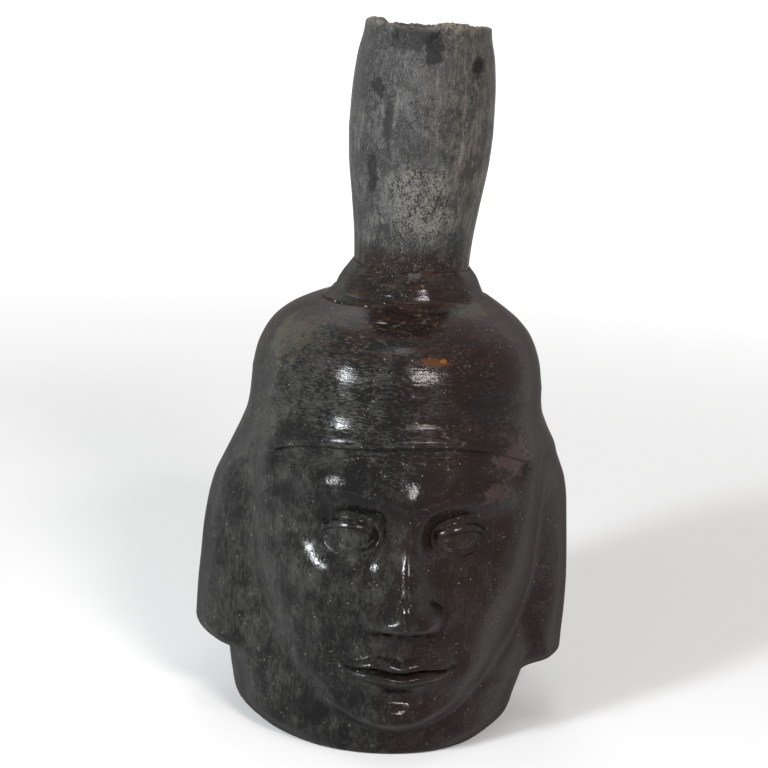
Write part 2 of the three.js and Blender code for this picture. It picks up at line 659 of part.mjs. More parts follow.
const frontAngles = [
  ...evenly(-halfTurn, -seamAngle, hiddenColumns),
  ...evenly(-seamAngle, -faceSweep, seamColumns),
  ...evenly(-faceSweep, -featureSweep, cheekColumns),
  ...evenly(-featureSweep, featureSweep, featureColumns),
  ...evenly(featureSweep, faceSweep, cheekColumns),
  ...evenly(faceSweep, seamAngle, seamColumns),
  ...evenly(seamAngle, halfTurn, hiddenColumns),
];
const rearAngles = [
  ...evenly(-halfTurn, -seamAngle, rearColumns),
  ...evenly(-seamAngle, seamAngle, 2 * hiddenColumns),
  ...evenly(seamAngle, halfTurn, rearColumns),
];
const flapFrontEdge = flapAngle - flapFrontReach;
const flapBackEdge = flapAngle + flapBackReach;
const flapAngles = [
  ...evenly(-flapBackEdge, -flapFrontEdge, flapColumns),
  ...evenly(-flapFrontEdge, flapFrontEdge, coveredColumns),
  ...evenly(flapFrontEdge, flapBackEdge, flapColumns),
  ...evenly(flapBackEdge, fullTurn - flapBackEdge, coveredColumns),
];
const hollowAngles = evenly(-halfTurn, halfTurn, hollowSides);
const hollowLevels = [
  -overrun,
  0,
  ...evenly(floorThickness, bandHeight, hollowRows),
  bandHeight,
  ...domeLevels(hollowDomeRows).map((z) => z - shellWall).filter((z) => z > waistHeight),
  headHeight - shellWall,
];

// The hollow of the head, open through the foot and up into the neck
const hollow = loft(hollowRadius, hollowAngles, hollowLevels);
const neckBore = neckRootRadius - neckWall;
const boreGeometry = new THREE.CylinderGeometry(neckBore, neckBore, 2 * shellWall + overrun, neckSides);
boreGeometry.rotateX(seamAngle * degree);
boreGeometry.translate(neckOffset, 0, headHeight - overrun / 2);
const inside = hollow.add(solid(boreGeometry));

// Pockets in the shells, where the flaps are seated
const seat = loft((angle, z) => headRadius(angle, z, false), flapAngles, rearLevels);
const seatWithGap = loft((angle, z) => headRadius(angle, z, false) + luteGap, flapAngles, rearLevels);
const flapSides = [
  { name: 'side_flap_left', side: -1, low: leftHemHeight + hemLedge },
  { name: 'side_flap_right', side: 1, low: rightHemHeight + hemLedge },
];
const pockets = flapSides.map(({ side, low }) => flapWedge(side, low, 0).subtract(seat));

function shell(angles, levels, sign) {
  const block = loft(headRadius, angles, levels);
  return pockets.reduce((piece, pocket) => piece.subtract(pocket), block)
    .subtract(inside)
    .intersect(halfSpace(sign));
}

function flap({ side, low }) {
  return loft(headRadius, flapAngles, rearLevels)
    .intersect(flapWedge(side, low, luteGap))
    .subtract(seatWithGap);
}

// The floor fits inside the foot with the lute gap all round
function floorDisc() {
  return loft((angle, z) => hollowRadius(angle, z) - luteGap, hollowAngles, [0, floorThickness]);
}

const neckLow = headHeight + luteGap;
const neckLength = rimHeight - neckLow;

function neckRadius(share) {
  const swell = mix(neckRootRadius, neckSwellRadius, neckSwell(share));
  return swell - (neckSwellRadius - neckRimRadius) * neckRim(share);
}

// A revolved wall whose rim is rounded, then worn down where it has chipped
function neckPiece() {
  const bend = 1 - rimRounding / neckLength;
  const shares = [...evenly(neckRootShare, bend, neckRows), bend];
  const outer = [0, ...shares].map((share) => [neckRadius(share), neckLow + neckLength * share]);
  const inner = outer.map(([radius, z]) => [radius - neckWall, z]).reverse();
  const lip = rimRounding / 2;
  const crown = [[neckRimRadius - lip, rimHeight], [neckRimRadius - neckWall + lip, rimHeight]];
  const section = [...outer, ...crown, ...inner, outer[0]].map(([radius, z]) => new THREE.Vector2(radius, z));
  const wall = new THREE.LatheGeometry(section, neckSides);
  wall.rotateX(seamAngle * degree);
  const position = wall.attributes.position;
  for (let i = 0; i < position.count; i += 1) {
    const angle = atan2(position.getX(i), -position.getY(i)) / degree;
    const near = smoothstep(rimHeight - 4 * rimWear, rimHeight, position.getZ(i));
    position.setZ(i, position.getZ(i) - rimWear * rimWearCurve(angle) * near);
  }
  wall.translate(neckOffset, 0, 0);
  return solid(wall);
}

// A ring with a hollow-cheeked outside, round the neck's root and on the flat of the cap
function collarPiece() {
  const rows = [...evenly(0, 1, collarRows), 1];
  const outer = rows.map((share) => {
    return [mix(collarRadius, collarTopRadius, collarCurve(share)), neckLow + collarHeight * share];
  });
  const bore = neckRootRadius + luteGap;
  const section = [...outer, [bore, neckLow + collarHeight], [bore, neckLow], outer[0]];
  const ring = new THREE.LatheGeometry(section.map(([radius, z]) => new THREE.Vector2(radius, z)), neckSides);
  ring.rotateX(seamAngle * degree);
  ring.translate(neckOffset, 0, 0);
  return solid(ring);
}

const vessel = new THREE.Group();
vessel.add(mesh('face_shell', shell(frontAngles, frontLevels, -1), burnishedClay));
vessel.add(mesh('rear_shell', shell(rearAngles, rearLevels, 1), burnishedClay));
for (const piece of flapSides) {
  vessel.add(mesh(piece.name, flap(piece), burnishedClay));
}
vessel.add(mesh('base_disc', floorDisc(), burnishedClay));
vessel.add(mesh('neck_collar', collarPiece(), burnishedClay));
vessel.add(mesh('neck', neckPiece(), wornClay));

export default vessel;
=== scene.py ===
"""The looks of a head-shaped bottle of dark burnished pottery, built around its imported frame."""
import math
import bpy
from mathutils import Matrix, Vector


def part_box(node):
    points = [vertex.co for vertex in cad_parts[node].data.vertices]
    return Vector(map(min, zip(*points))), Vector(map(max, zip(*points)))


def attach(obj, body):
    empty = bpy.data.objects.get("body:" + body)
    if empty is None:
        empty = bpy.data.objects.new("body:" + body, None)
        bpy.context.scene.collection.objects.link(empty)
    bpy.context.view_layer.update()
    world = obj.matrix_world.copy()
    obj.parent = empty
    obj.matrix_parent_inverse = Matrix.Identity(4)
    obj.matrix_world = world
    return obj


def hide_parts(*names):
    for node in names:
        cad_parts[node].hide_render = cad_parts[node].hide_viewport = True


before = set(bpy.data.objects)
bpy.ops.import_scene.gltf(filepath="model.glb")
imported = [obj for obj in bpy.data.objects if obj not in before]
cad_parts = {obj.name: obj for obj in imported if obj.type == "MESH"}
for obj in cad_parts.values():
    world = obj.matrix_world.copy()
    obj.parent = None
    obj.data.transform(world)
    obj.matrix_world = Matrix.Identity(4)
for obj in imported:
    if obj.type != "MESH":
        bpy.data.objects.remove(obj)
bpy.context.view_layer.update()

from types import SimpleNamespace as Shares

import bpy
import numpy as np
from mathutils import Quaternion, Vector

MM = 0.001

# Driving dimensions in millimetres. The frame's are the same, apart from the front of the band and its edge.
_, shell_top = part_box("face_shell")
neck_low, neck_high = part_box("neck")
_, collar_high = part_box("neck_collar")
HEAD_HEIGHT = shell_top.z / MM
RIM_HEIGHT = neck_high.z / MM
NECK_OFFSET = 0.5 * (neck_low.x + neck_high.x) / MM
FOOT_HALF, FOOT_FRONT, FOOT_BACK = 42.5, 47.3, 44.0
FOOT_LEAN, FOOT_LEAN_HEIGHT, FOOT_LEAN_REACH = 1.3, 8.0, 14.0
BELLY_HALF, BELLY_FRONT, BELLY_BACK = 54.1, 50.0, 52.0
CHIN_HEIGHT = 7.0
FACE_DEPTH = 59.4
CAP_HALF, CAP_FRONT, CAP_BACK = 51.3, 54.2, 55.8
DOME_LEAN, DOME_SAG, DOME_POWER = 1.0, 0.3, 4
WAIST_HEIGHT, BAND_HEIGHT = 125.0, 111.5
BAND_FRONT = 57.4
FLAP_OUT = 13.1
LEFT_FLAP_LIFT, RIGHT_FLAP_LIFT = -1.5, 4.2
DRAPE_BACK = 60.8
LEFT_HEM, RIGHT_HEM, HEM_RISE = 26.1, 22.6, 12.0
LEFT_CORNER, RIGHT_CORNER, FRONT_CORNER = 7.5, 4.5, 34.0
CLOTH_THICKNESS = 1.2
EDGE_ROLL_RISE, EDGE_ROLL_WIDTH, EDGE_STEP = 1.1, 2.4, 0.9
EDGE_WAVE, EDGE_WAVE_COUNT, EDGE_WAVE_START = 0.7, 6, 0.8
EDGE_FADE = 0.12  # the roll fades out at both sides, over this much of the cosine
HEM_LEDGE = 0.6
NECK_ROOT, NECK_SWELL, NECK_RIM, NECK_WALL = 20.3, 25.1, 21.7, 4.0
RIM_ROUNDING, RIM_WEAR = 1.6, 3.0
COLLAR_RADIUS = 27.2
SHELL_WALL, CARVING_ALLOWANCE, FLOOR_THICKNESS = 5.0, 3.5, 6.0
BODY_POWER, CLOTH_POWER = 2.1, 2.12  # how square the ovals are
FACE_JOIN, CLOTH_JOIN, EDGE_JOIN, TEMPLE_JOIN, TEMPLE_STEP = 2.6, 2.0, 1.2, 5.0, 5.0
LEAST_JOIN, LUTE_GAP = 0.01, 0.3
SIDE_BLEND = 0.5  # of the sine, over which the left side becomes the right side
FLAP_ANGLE, FLAP_FRONT_SPREAD, FLAP_BACK_SPREAD = 91.0, 27.0, 32.0
FLAP_FRONT_REACH, FLAP_BACK_REACH, FLAP_TOP_SHARE = 25.0, 38.0, 0.885
HEM_FADE_TURN = (77.0, 58.0)
FLAP_MIDDLE = 28.6  # degrees over which the flap's front spread becomes its back spread
DEGREE = math.pi / 180

# Outlines as shares: a place from 0 to 1, then a value from one named size to the next
FOOT_SHARES = ((0, 0), (0.1, 0.28), (0.3, 0.67), (0.6, 0.82), (1, 1))
BELLY_SIDE_SHARES = ((0, 1), (0.09, 0.99), (0.23, 0.953), (0.6, 0.925), (0.73, 0.87), (0.86, 0.7),
                     (0.97, 0.37))
BELLY_FRONT_SHARES = ((0, 1), (0.11, 0.96), (0.3, 0.88), (0.67, 0.76), (0.97, 0.4))
BELLY_BACK_SHARES = ((0, 1), (0.3, 0.99), (0.67, 0.96), (0.86, 0.77), (0.97, 0.4))
CAP_SHARES = ((0, 1), (0.24, 0.95), (0.4, 0.886), (0.57, 0.778), (0.72, 0.604), (0.85, 0.362),
              (0.94, 0.157), (1, 0))
BAND_SHARES = ((0, 0), (0.2, 0.06), (0.6, 0.5), (0.92, 0.94), (1, 1))
BELOW_BAND_SHARES = ((0, 1), (0.125, 0.976), (0.26, 0.889), (0.56, 0.784), (1, 0.767))
CLOTH_SIDE_SHARES = ((0, 0), (0.24, 0.07), (0.62, 0.25), (1, 1))
CLOTH_BACK_SHARES = ((0, 0), (0.24, 0.34), (0.62, 0.64), (0.9, 0.94), (1, 1))
FLAP_SHARES = ((0, 0), (0.077, 0.025), (0.129, 0.075), (0.18, 0.2), (0.24, 0.375), (0.32, 0.6),
               (0.38, 0.75), (0.47, 0.865), (0.62, 0.95), (0.77, 1), (1, 1))
NECK_SWELL_SHARES = ((0, 0), (0.12, 0), (0.2, 0.1), (0.337, 0.44), (0.5, 0.88), (0.6, 1))
NECK_RIM_SHARES = ((0.6, 0), (0.725, 0.07), (0.85, 0.36), (0.97, 0.95), (1, 1))
# The rim's wear at angles in degrees round the neck
RIM_WEAR_SHARES = ((-180, 0.9), (-120, 0.85), (-95, 0.4), (-80, 0.05), (-62, 0), (-52, 0.55), (-48, 0.62),
                   (-8, 0.72), (-3, 0.66), (2, 0.1), (10, 0), (32, 0.04), (38, 0.28), (66, 0.34), (90, 0.6),
                   (120, 0.85), (180, 0.9))

# The face: lengths and heights are shares of the height from the chin to the top of the head
# The lids, nostrils, grooves and the line of the lips are sharper than the frame's
FACE_HEIGHT = HEAD_HEIGHT - CHIN_HEIGHT
EYE_SHARE, BROW_SHARE, NOSE_SHARE, MOUTH_SHARE = 0.493, 0.585, 0.292, 0.194
FACE_HALF_SHARE, FACE_TOP_SHARE = 0.333, 0.8875
FACE_PROFILE_SHARES = ((-0.05, 0.943), (0.02, 0.976), (0.061, 0.993), (0.115, 0.97), (0.183, 0.997),
                       (0.278, 1), (0.373, 0.993), (0.48, 0.973), (0.562, 0.973), (0.63, 0.963),
                       (0.705, 0.936), (0.78, 0.86), (0.867, 0.64))
NOSE_RISE_SHARES = ((-0.0205, 0), (-0.0055, 0.0082), (0.0041, 0.0445), (0.0164, 0.0753), (0.0384, 0.0932),
                    (0.0658, 0.089), (0.107, 0.0671), (0.162, 0.0425), (0.222, 0.0247), (0.293, 0.011),
                    (0.348, 0))
NOSE_WIDTH_SHARES = ((-0.0137, 0.0514), (0.0384, 0.052), (0.0726, 0.048), (0.1205, 0.0438), (0.215, 0.0384),
                     (0.293, 0.0548), (0.348, 0.0753))
NOSE_POWER = 1.9
# Soft masses: side, height, half width, half height, rise and power of the falling off
MASS_SHARES = (
    (0.192, 0.381, 0.082, 0.082, 0.0137, 2),
    (0.24, 0.235, 0.062, 0.082, -0.0123, 2),
    (0, 0.221, 0.13, 0.089, 0.011, 2),
    (0, 0.062, 0.082, 0.048, 0.019, 2.2),
    (0, 0.122, 0.089, 0.0247, -0.011, 2),
    (0.295, 0.612, 0.062, 0.082, -0.0082, 2),
    (0, 0.585, 0.055, 0.041, 0.0082, 2),
    (0.14, 0.504, 0.0925, 0.06, -0.0384, 2.3),
    (0.072, 0.508, 0.0315, 0.041, -0.015, 2),
)
DETAIL_SHARES = (
    (0.0575, 0.319, 0.034, 0.0336, 0.0315, 2.8),
    (0.0356, 0.293, 0.017, 0.009, -0.022, 2),
    (0.138, 0.195, 0.018, 0.018, -0.006, 2),
)
FACE_OVAL = Shares(jaw_power=2.4, jaw_round=0.526, brow_power=3.2, brow_round=0.42, chin_power=14)
FACE_CENTRE = Shares(at=0.337, more=0.168, start=0.373, end=0.047)  # at and more are shares of FACE_DEPTH
FACE_FADE = Shares(start=0.505, end=0.741, turn_power=0.4)  # lengths are shares of FACE_DEPTH
BRIM = Shares(thin=0.65, full=0.9, soft=0.88, crisp=0.95, core=0.8)  # shares of BAND_HEIGHT
OPENING = Shares(wide=0.7175, narrow=0.98, power=3.4, depth=0.9, limit=1.3)
BROW = Shares(side=0.151, span=0.123, up=0.018, droop=0.029, tall=0.03, rise=0.0103,
              inner=(0.02, 0.082), outer=(0.205, 0.288))
# A lid's edge has a height, a lean and the powers of its curve, and a lid has a rise and a reach
EYE = Shares(
    side=0.1387, half=0.0667, ball=0.0904, sink=0.011, turn=0.035, tilt=0.06, join=0.009, reach=0.985,
    upper=(0.0253, 0.08, 2.2, 0.85), upper_lid=0.0116, upper_fade=0.062,
    lower=(0.0199, -0.05, 2.4, 0.9), lower_lid=0.0079, lower_fade=0.034, edge=(-0.002, 0.0024),
    crease=0.02, crease_depth=0.0038, crease_width=0.0055, crease_from=0.84, crease_to=1.24)
WING_GROOVE = Shares(side=0.0562, up=0.0274, radius=0.0473, width=0.0075, depth=0.0062, reach=(0.048, 0.075))
LIP_GROOVE = Shares(low=0.0274, full=0.048, end=0.0205, side=0.0226, width=0.0103, rise=0.0034,
                    dip=0.0048, dip_width=0.013)
FOLD = Shares(side=0.082, more=0.055, top=0.0274, foot=0.0137, width=0.0178, depth=0.0034, fade=0.041)
LIPS = Shares(
    half=0.127, upper=0.041, bow=0.0062, bow_width=0.015, upper_curve=0.75, upper_rise=0.0205,
    upper_round=0.62, lower=0.048, lower_curve=0.7, lower_rise=0.024, lower_round=0.68, fullness=0.55,
    wave=0.0034, wave_side=0.055, wave_width=0.0274, middle_width=0.024, lift=0.0017,
    lift_reach=(0.082, 0.123), parting=0.0082, parting_width=0.0051, end_in=0.0068, end_out=0.017,
    least=0.0003)


def mix(first, second, share):
    return first + (second - first) * share


def smoothstep(start, end, value):
    t = np.clip((value - start) / (end - start), 0, 1)
    return t * t * (3 - 2 * t)


def soft_max(first, second, join):
    """The larger of two values, with a rounded join of the given width."""
    t = np.clip(0.5 + 0.5 * (first - second) / join, 0, 1)
    return mix(second, first, t) + join * t * (1 - t)


def bell(distance, power=2):
    return np.exp(-np.abs(distance) ** power)


def outline(points):
    """A curve through given points that never overshoots them."""
    x, y = np.array(points, float).T
    steps = np.diff(x)
    rises = np.diff(y) / steps
    slopes = np.zeros_like(x)
    slopes[0], slopes[-1] = rises[0], rises[-1]
    for i in range(1, len(x) - 1):
        if rises[i - 1] * rises[i] > 0:
            before, after = 2 * steps[i] + steps[i - 1], steps[i] + 2 * steps[i - 1]
            slopes[i] = (before + after) / (before / rises[i - 1] + after / rises[i])

    def value(place):
        at = np.clip(place, x[0], x[-1])
        i = np.clip(np.searchsorted(x, at, side="right") - 1, 0, len(steps) - 1)
        t = (at - x[i]) / steps[i]
        start = y[i] * (1 + 2 * t) * (1 - t) ** 2 + slopes[i] * steps[i] * t * (1 - t) ** 2
        return start + y[i + 1] * t * t * (3 - 2 * t) + slopes[i + 1] * steps[i] * t * t * (t - 1)
    return value


foot_curve, cap_curve, band_curve = outline(FOOT_SHARES), outline(CAP_SHARES), outline(BAND_SHARES)
belly_side, belly_front = outline(BELLY_SIDE_SHARES), outline(BELLY_FRONT_SHARES)
belly_back, below_band = outline(BELLY_BACK_SHARES), outline(BELOW_BAND_SHARES)
cloth_side, cloth_back = outline(CLOTH_SIDE_SHARES), outline(CLOTH_BACK_SHARES)
flap_curve, face_profile = outline(FLAP_SHARES), outline(FACE_PROFILE_SHARES)
nose_rise, nose_width = outline(NOSE_RISE_SHARES), outline(NOSE_WIDTH_SHARES)
neck_swell, neck_rim = outline(NECK_SWELL_SHARES), outline(NECK_RIM_SHARES)
rim_wear = outline(RIM_WEAR_SHARES)


def oval_radius(angle, side, front, back, power):
    across = np.abs(np.sin(angle)) / side
    along = np.abs(np.cos(angle)) / np.where(np.cos(angle) > 0, front, back)
    return (across ** power + along ** power) ** (-1 / power)


def turn_of(angle):
    """Degrees away from the face, from 0 to 180 on either side."""
    return np.degrees(np.abs(np.arctan2(np.sin(angle), np.cos(angle))))


def leftness(angle):
    """1 over the left flap and 0 over the right one, which ends lower and squarer."""
    return smoothstep(-SIDE_BLEND, SIDE_BLEND, -np.sin(angle))


def hem_height(angle):
    return mix(RIGHT_HEM, LEFT_HEM, leftness(angle))


def body_half(z, foot, belly, above):
    low = mix(foot, belly, foot_curve(z / RIGHT_HEM))
    return np.where(z < RIGHT_HEM, low, belly * above((z - RIGHT_HEM) / (HEAD_HEIGHT - RIGHT_HEM)))


def body_halves(z):
    """The body's reach to the side, in front and behind."""
    sizes = ((FOOT_HALF, BELLY_HALF, belly_side), (FOOT_FRONT, BELLY_FRONT, belly_front),
             (FOOT_BACK, BELLY_BACK, belly_back))
    return [body_half(z, *row) for row in sizes]


def body_radius(angle, z):
    lean = FOOT_LEAN * np.sin(angle) * bell((z - FOOT_LEAN_HEIGHT) / FOOT_LEAN_REACH)
    return oval_radius(angle, *body_halves(z), BODY_POWER) - lean


def cap_half(z, half):
    return mix(COLLAR_RADIUS, half, cap_curve((z - WAIST_HEIGHT) / (HEAD_HEIGHT - WAIST_HEIGHT)))


def fall(z):
    """How far down the cloth a height is, from 0 at the waist to 1 at the hem."""
    return np.clip((WAIST_HEIGHT - z) / (WAIST_HEIGHT - RIGHT_HEM), 0, 1)


def cloth_halves(z):
    """The cloth's reach to the side, in front and behind."""
    band = mix(CAP_FRONT, BAND_FRONT, band_curve((WAIST_HEIGHT - z) / (WAIST_HEIGHT - BAND_HEIGHT)))
    below = BAND_FRONT * below_band((BAND_HEIGHT - z) / (BAND_HEIGHT - RIGHT_HEM))
    side = mix(CAP_HALF, BELLY_HALF, cloth_side(fall(z)))
    back = mix(CAP_BACK, DRAPE_BACK, cloth_back(fall(z)))
    hanging = ((CAP_HALF, side), (CAP_FRONT, np.where(z > BAND_HEIGHT, band, below)), (CAP_BACK, back))
    return [np.where(z > WAIST_HEIGHT, cap_half(z, cap), low) for cap, low in hanging]


def cloth_radius(angle, z, flapped):
    """The cloth, whose dome leans to the left, sags round the collar and is flat under the collar."""
    top = np.clip((z - WAIST_HEIGHT) / (HEAD_HEIGHT - WAIST_HEIGHT), 0, 1) ** DOME_POWER
    level = z + (DOME_SAG - DOME_LEAN * np.sin(angle)) * top
    radius = oval_radius(angle, *cloth_halves(level), CLOTH_POWER) + NECK_OFFSET * np.sin(angle) * top
    if not flapped:
        return radius
    lift = mix(RIGHT_FLAP_LIFT, LEFT_FLAP_LIFT, leftness(angle))
    reach = (BELLY_HALF + FLAP_OUT - CAP_HALF) * flap_curve(fall(z - lift))
    growth = np.maximum(reach - (BELLY_HALF - CAP_HALF) * cloth_side(fall(z)), 0)
    away = turn_of(angle) - FLAP_ANGLE
    spread = mix(FLAP_FRONT_SPREAD, FLAP_BACK_SPREAD, smoothstep(-FLAP_MIDDLE, FLAP_MIDDLE, away))
    return radius + growth * bell(away / spread)


def face_radius(angle, z):
    """Radius of the face's plain oval, an ellipse round a centre in front of the axis."""
    s = FACE_OVAL
    v = (z - CHIN_HEIGHT) / FACE_HEIGHT
    centre_share = FACE_CENTRE.at + FACE_CENTRE.more * smoothstep(FACE_CENTRE.start, FACE_CENTRE.end, v)
    centre = FACE_DEPTH * centre_share
    down = np.clip((EYE_SHARE - v) / EYE_SHARE, 0, 1)
    up = np.clip((v - EYE_SHARE) / (FACE_TOP_SHARE - EYE_SHARE), 0, 1)
    half = FACE_HEIGHT * FACE_HALF_SHARE * (1 - down ** s.jaw_power) ** s.jaw_round
    half = np.maximum(half * (1 - up ** s.brow_power) ** s.brow_round, LUTE_GAP)
    depth = FACE_DEPTH * (face_profile(v) - centre_share) * np.sqrt(1 - down ** s.chin_power)
    depth = np.maximum(depth, LUTE_GAP)
    a = (np.sin(angle) / half) ** 2 + (np.cos(angle) / depth) ** 2
    b = -2 * np.cos(angle) * centre / depth ** 2
    c = (centre / depth) ** 2 - 1
    root = b * b - 4 * a * c
    seen = (root > 0) & (v >= 0) & (v < FACE_TOP_SHARE) & (np.cos(angle) > 0)
    return np.where(seen, np.maximum((-b + np.sqrt(np.maximum(root, 0))) / (2 * a), 0), 0)


def mounds(u, v, rows):
    total = np.zeros_like(u)
    for side, up, wide, tall, rise, power in rows:
        total += rise * bell(np.hypot((u - side) / wide, (v - up) / tall), power)
    return total


def brow(u, v):
    s = BROW
    arch = BROW_SHARE + s.up - s.droop * ((u - s.side) / s.span) ** 2
    return s.rise * bell((v - arch) / s.tall) * smoothstep(*s.inner, u) * (1 - smoothstep(*s.outer, u))


def lid_edge(place, height, lean, power, curve):
    """How far a lid's edge lies from the eye's level, at a place from -1 to 1 along the eye."""
    return height * np.maximum(1 - np.abs(place + lean) ** power, 0) ** curve


def with_eye(rise, u, v):
    """Lays the eyeball and its two lids over the socket, with a crease above."""
    s = EYE
    across = u - s.side
    level = EYE_SHARE + s.tilt * across
    place = np.clip(across / s.half, -1, 1)
    top, bottom = level + lid_edge(place, *s.upper), level - lid_edge(place, *s.lower)
    apart = np.hypot(across, v - EYE_SHARE)
    ball = np.sqrt(np.maximum(s.ball ** 2 - apart ** 2, 0)) - s.ball - s.sink - s.turn * across
    opened = np.where(np.abs(across) < s.half, smoothstep(*s.edge, np.minimum(top - v, v - bottom)), 0)
    upper = s.upper_lid * bell(np.maximum(v - top, 0) / s.upper_fade)
    lower = s.lower_lid * bell(np.maximum(bottom - v, 0) / s.lower_fade)
    eye = ball + np.where(v > level, upper, lower) * (1 - opened)
    near = apart < s.ball * s.reach
    result = np.where(near, soft_max(rise, np.where(near, eye, -1), s.join), rise)
    ends = 1 - smoothstep(s.crease_from * s.half, s.crease_to * s.half, np.abs(across))
    return result - s.crease_depth * bell((v - top - s.crease) / s.crease_width) * ends


def nose(u, v):
    s = WING_GROOVE
    ridge = nose_rise(v - NOSE_SHARE) * bell(u / nose_width(v - NOSE_SHARE), NOSE_POWER)
    ring = np.hypot(u - s.side, v - NOSE_SHARE - s.up) - s.radius
    return ridge - s.depth * bell(ring / s.width) * smoothstep(*s.reach, u)


def lip_groove_and_fold(u, v):
    """The groove from the nose to the upper lip, and the faint fold from the nose to the mouth's corner."""
    s, f = LIP_GROOVE, FOLD
    within = smoothstep(MOUTH_SHARE + s.low, MOUTH_SHARE + s.full, v)
    within = within * (1 - smoothstep(NOSE_SHARE - s.end, NOSE_SHARE, v))
    groove = within * (s.rise * bell((u - s.side) / s.width) - s.dip * bell(u / s.dip_width))
    side = f.side + f.more * smoothstep(NOSE_SHARE + f.top, MOUTH_SHARE + f.foot, v)
    along = smoothstep(MOUTH_SHARE - f.foot, MOUTH_SHARE + f.fade, v)
    along = along * (1 - smoothstep(NOSE_SHARE, NOSE_SHARE + f.fade, v))
    return groove - f.depth * bell((u - side) / f.width) * along


def lips(u, v):
    s = LIPS
    within = np.maximum(1 - (u / s.half) ** 2, 0)
    wave = s.wave * (bell((u - s.wave_side) / s.wave_width) - bell(u / s.middle_width))
    line = MOUTH_SHARE + wave + s.lift * smoothstep(*s.lift_reach, u)
    upper = np.maximum((s.upper - s.bow * bell(u / s.bow_width)) * within ** s.upper_curve, s.least)
    lower = np.maximum(s.lower * within ** s.lower_curve, s.least)
    above = np.clip((v - line) / upper, 0, 1)
    below = np.clip((line - v) / lower, 0, 1)
    upper_swell = s.upper_rise * np.sin(np.pi * above ** s.upper_round)
    lower_swell = s.lower_rise * np.sin(np.pi * below ** s.lower_round)
    ends = 1 - smoothstep(s.half - s.end_in, s.half + s.end_out, u)
    parting = s.parting * bell((v - line) / s.parting_width) * ends
    return np.where(v >= line, upper_swell, lower_swell) * within ** s.fullness - parting


def carving(x, z):
    """How far the face stands out from its plain oval."""
    u = np.abs(x) / FACE_HEIGHT
    v = (z - CHIN_HEIGHT) / FACE_HEIGHT
    masses = mounds(u, v, MASS_SHARES) + brow(u, v)
    details = mounds(u, v, DETAIL_SHARES) + lip_groove_and_fold(u, v)
    return FACE_HEIGHT * (with_eye(masses, u, v) + nose(u, v) + details + lips(u, v))


def inside_opening(x, z):
    """Distance inside the cloth's edge round the face, negative under the cloth."""
    s = OPENING
    wide = BAND_HEIGHT * s.wide
    up = np.clip((z - wide) / (BAND_HEIGHT - wide), 0, s.limit)
    half = FACE_HEIGHT * FACE_HALF_SHARE * s.narrow
    ring = ((np.abs(x) / half) ** s.power + up ** s.power) ** (1 / s.power)
    return (1 - ring) * (BAND_HEIGHT - wide) * s.depth


def head_radius(angle, z, flapped=True):
    """The whole outer surface: body, face and headcloth."""
    body = body_radius(angle, z)
    face = face_radius(angle, z)
    fade = smoothstep(FACE_DEPTH * FACE_FADE.start, FACE_DEPTH * FACE_FADE.end, face)
    fade = fade * np.maximum(np.cos(angle), 0) ** FACE_FADE.turn_power
    carved = np.where(face > 0, face + carving(face * np.sin(angle), z) * fade, 0)
    head = soft_max(body, carved, FACE_JOIN)
    plain = soft_max(body, face, FACE_JOIN)
    thick = CLOTH_THICKNESS * smoothstep(BAND_HEIGHT * BRIM.thin, BAND_HEIGHT * BRIM.full, z)
    cloth = soft_max(cloth_radius(angle, z, flapped), plain + thick, CLOTH_JOIN)
    wave = EDGE_WAVE * np.sin(EDGE_WAVE_COUNT * angle + EDGE_WAVE_START)
    inside = inside_opening(plain * np.sin(angle), z) + wave
    ahead = smoothstep(0, EDGE_FADE, np.cos(angle))
    brim = smoothstep(BAND_HEIGHT * BRIM.soft, BAND_HEIGHT * BRIM.crisp, z)
    step = mix(TEMPLE_STEP, EDGE_STEP, brim)
    cloth = cloth + ahead * EDGE_ROLL_RISE * bell((inside + EDGE_ROLL_WIDTH) / EDGE_ROLL_WIDTH) * brim
    cloth = cloth - ahead * 2 * SHELL_WALL * smoothstep(-EDGE_STEP, 2 * step - EDGE_STEP, inside)
    front = smoothstep(*HEM_FADE_TURN, turn_of(angle))
    corner = mix(mix(RIGHT_CORNER, LEFT_CORNER, leftness(angle)), FRONT_CORNER, front)
    t = np.clip((z - hem_height(angle)) / corner, 0, 1)
    cloth = body + (cloth - body) * mix(np.sqrt(1 - (1 - t) ** 2), smoothstep(0, 1, t), front)
    join = mix(TEMPLE_JOIN, EDGE_JOIN, brim) * smoothstep(0, HEM_RISE, z - hem_height(angle))
    return np.where(z <= hem_height(angle), head, soft_max(head, cloth, np.maximum(join, LEAST_JOIN)))


def hollow_radius(angle, z):
    """The hollow inside: an even wall behind the body, the plain face and the cap."""
    def core(level):
        share = smoothstep(BAND_HEIGHT * BRIM.core, WAIST_HEIGHT, level)
        halves = [mix(body, cloth, share) for body, cloth in zip(body_halves(level), cloth_halves(level))]
        body = oval_radius(angle, *halves, BODY_POWER)
        return soft_max(body, face_radius(angle, level) - CARVING_ALLOWANCE, FACE_JOIN)
    return np.minimum(core(z) - SHELL_WALL, core(np.minimum(z + SHELL_WALL, HEAD_HEIGHT)))


# Pieces of the shells and flaps
FOOT_ROUNDING = 1.2
HAIR = 0.02  # the smallest step between two sections
FLAP_FRONT_EDGE = FLAP_ANGLE - FLAP_FRONT_REACH
FLAP_BACK_EDGE = FLAP_ANGLE + FLAP_BACK_REACH
FLAP_TOP = BAND_HEIGHT * FLAP_TOP_SHARE
LEFT_LOW, RIGHT_LOW = LEFT_HEM + HEM_LEDGE, RIGHT_HEM + HEM_LEDGE
SKIN_GAP = 0.05  # between two skins that touch
SLOW_WAVE, QUICK_WAVE = 0.28, 0.1
FACE_CALM, FACE_CALM_COSINES = 0.85, (0.6, 0.9)  # how much the waves fade over the face, and where
CROWN_CALM = 0.93  # the share of the head's height from which the waves fade out


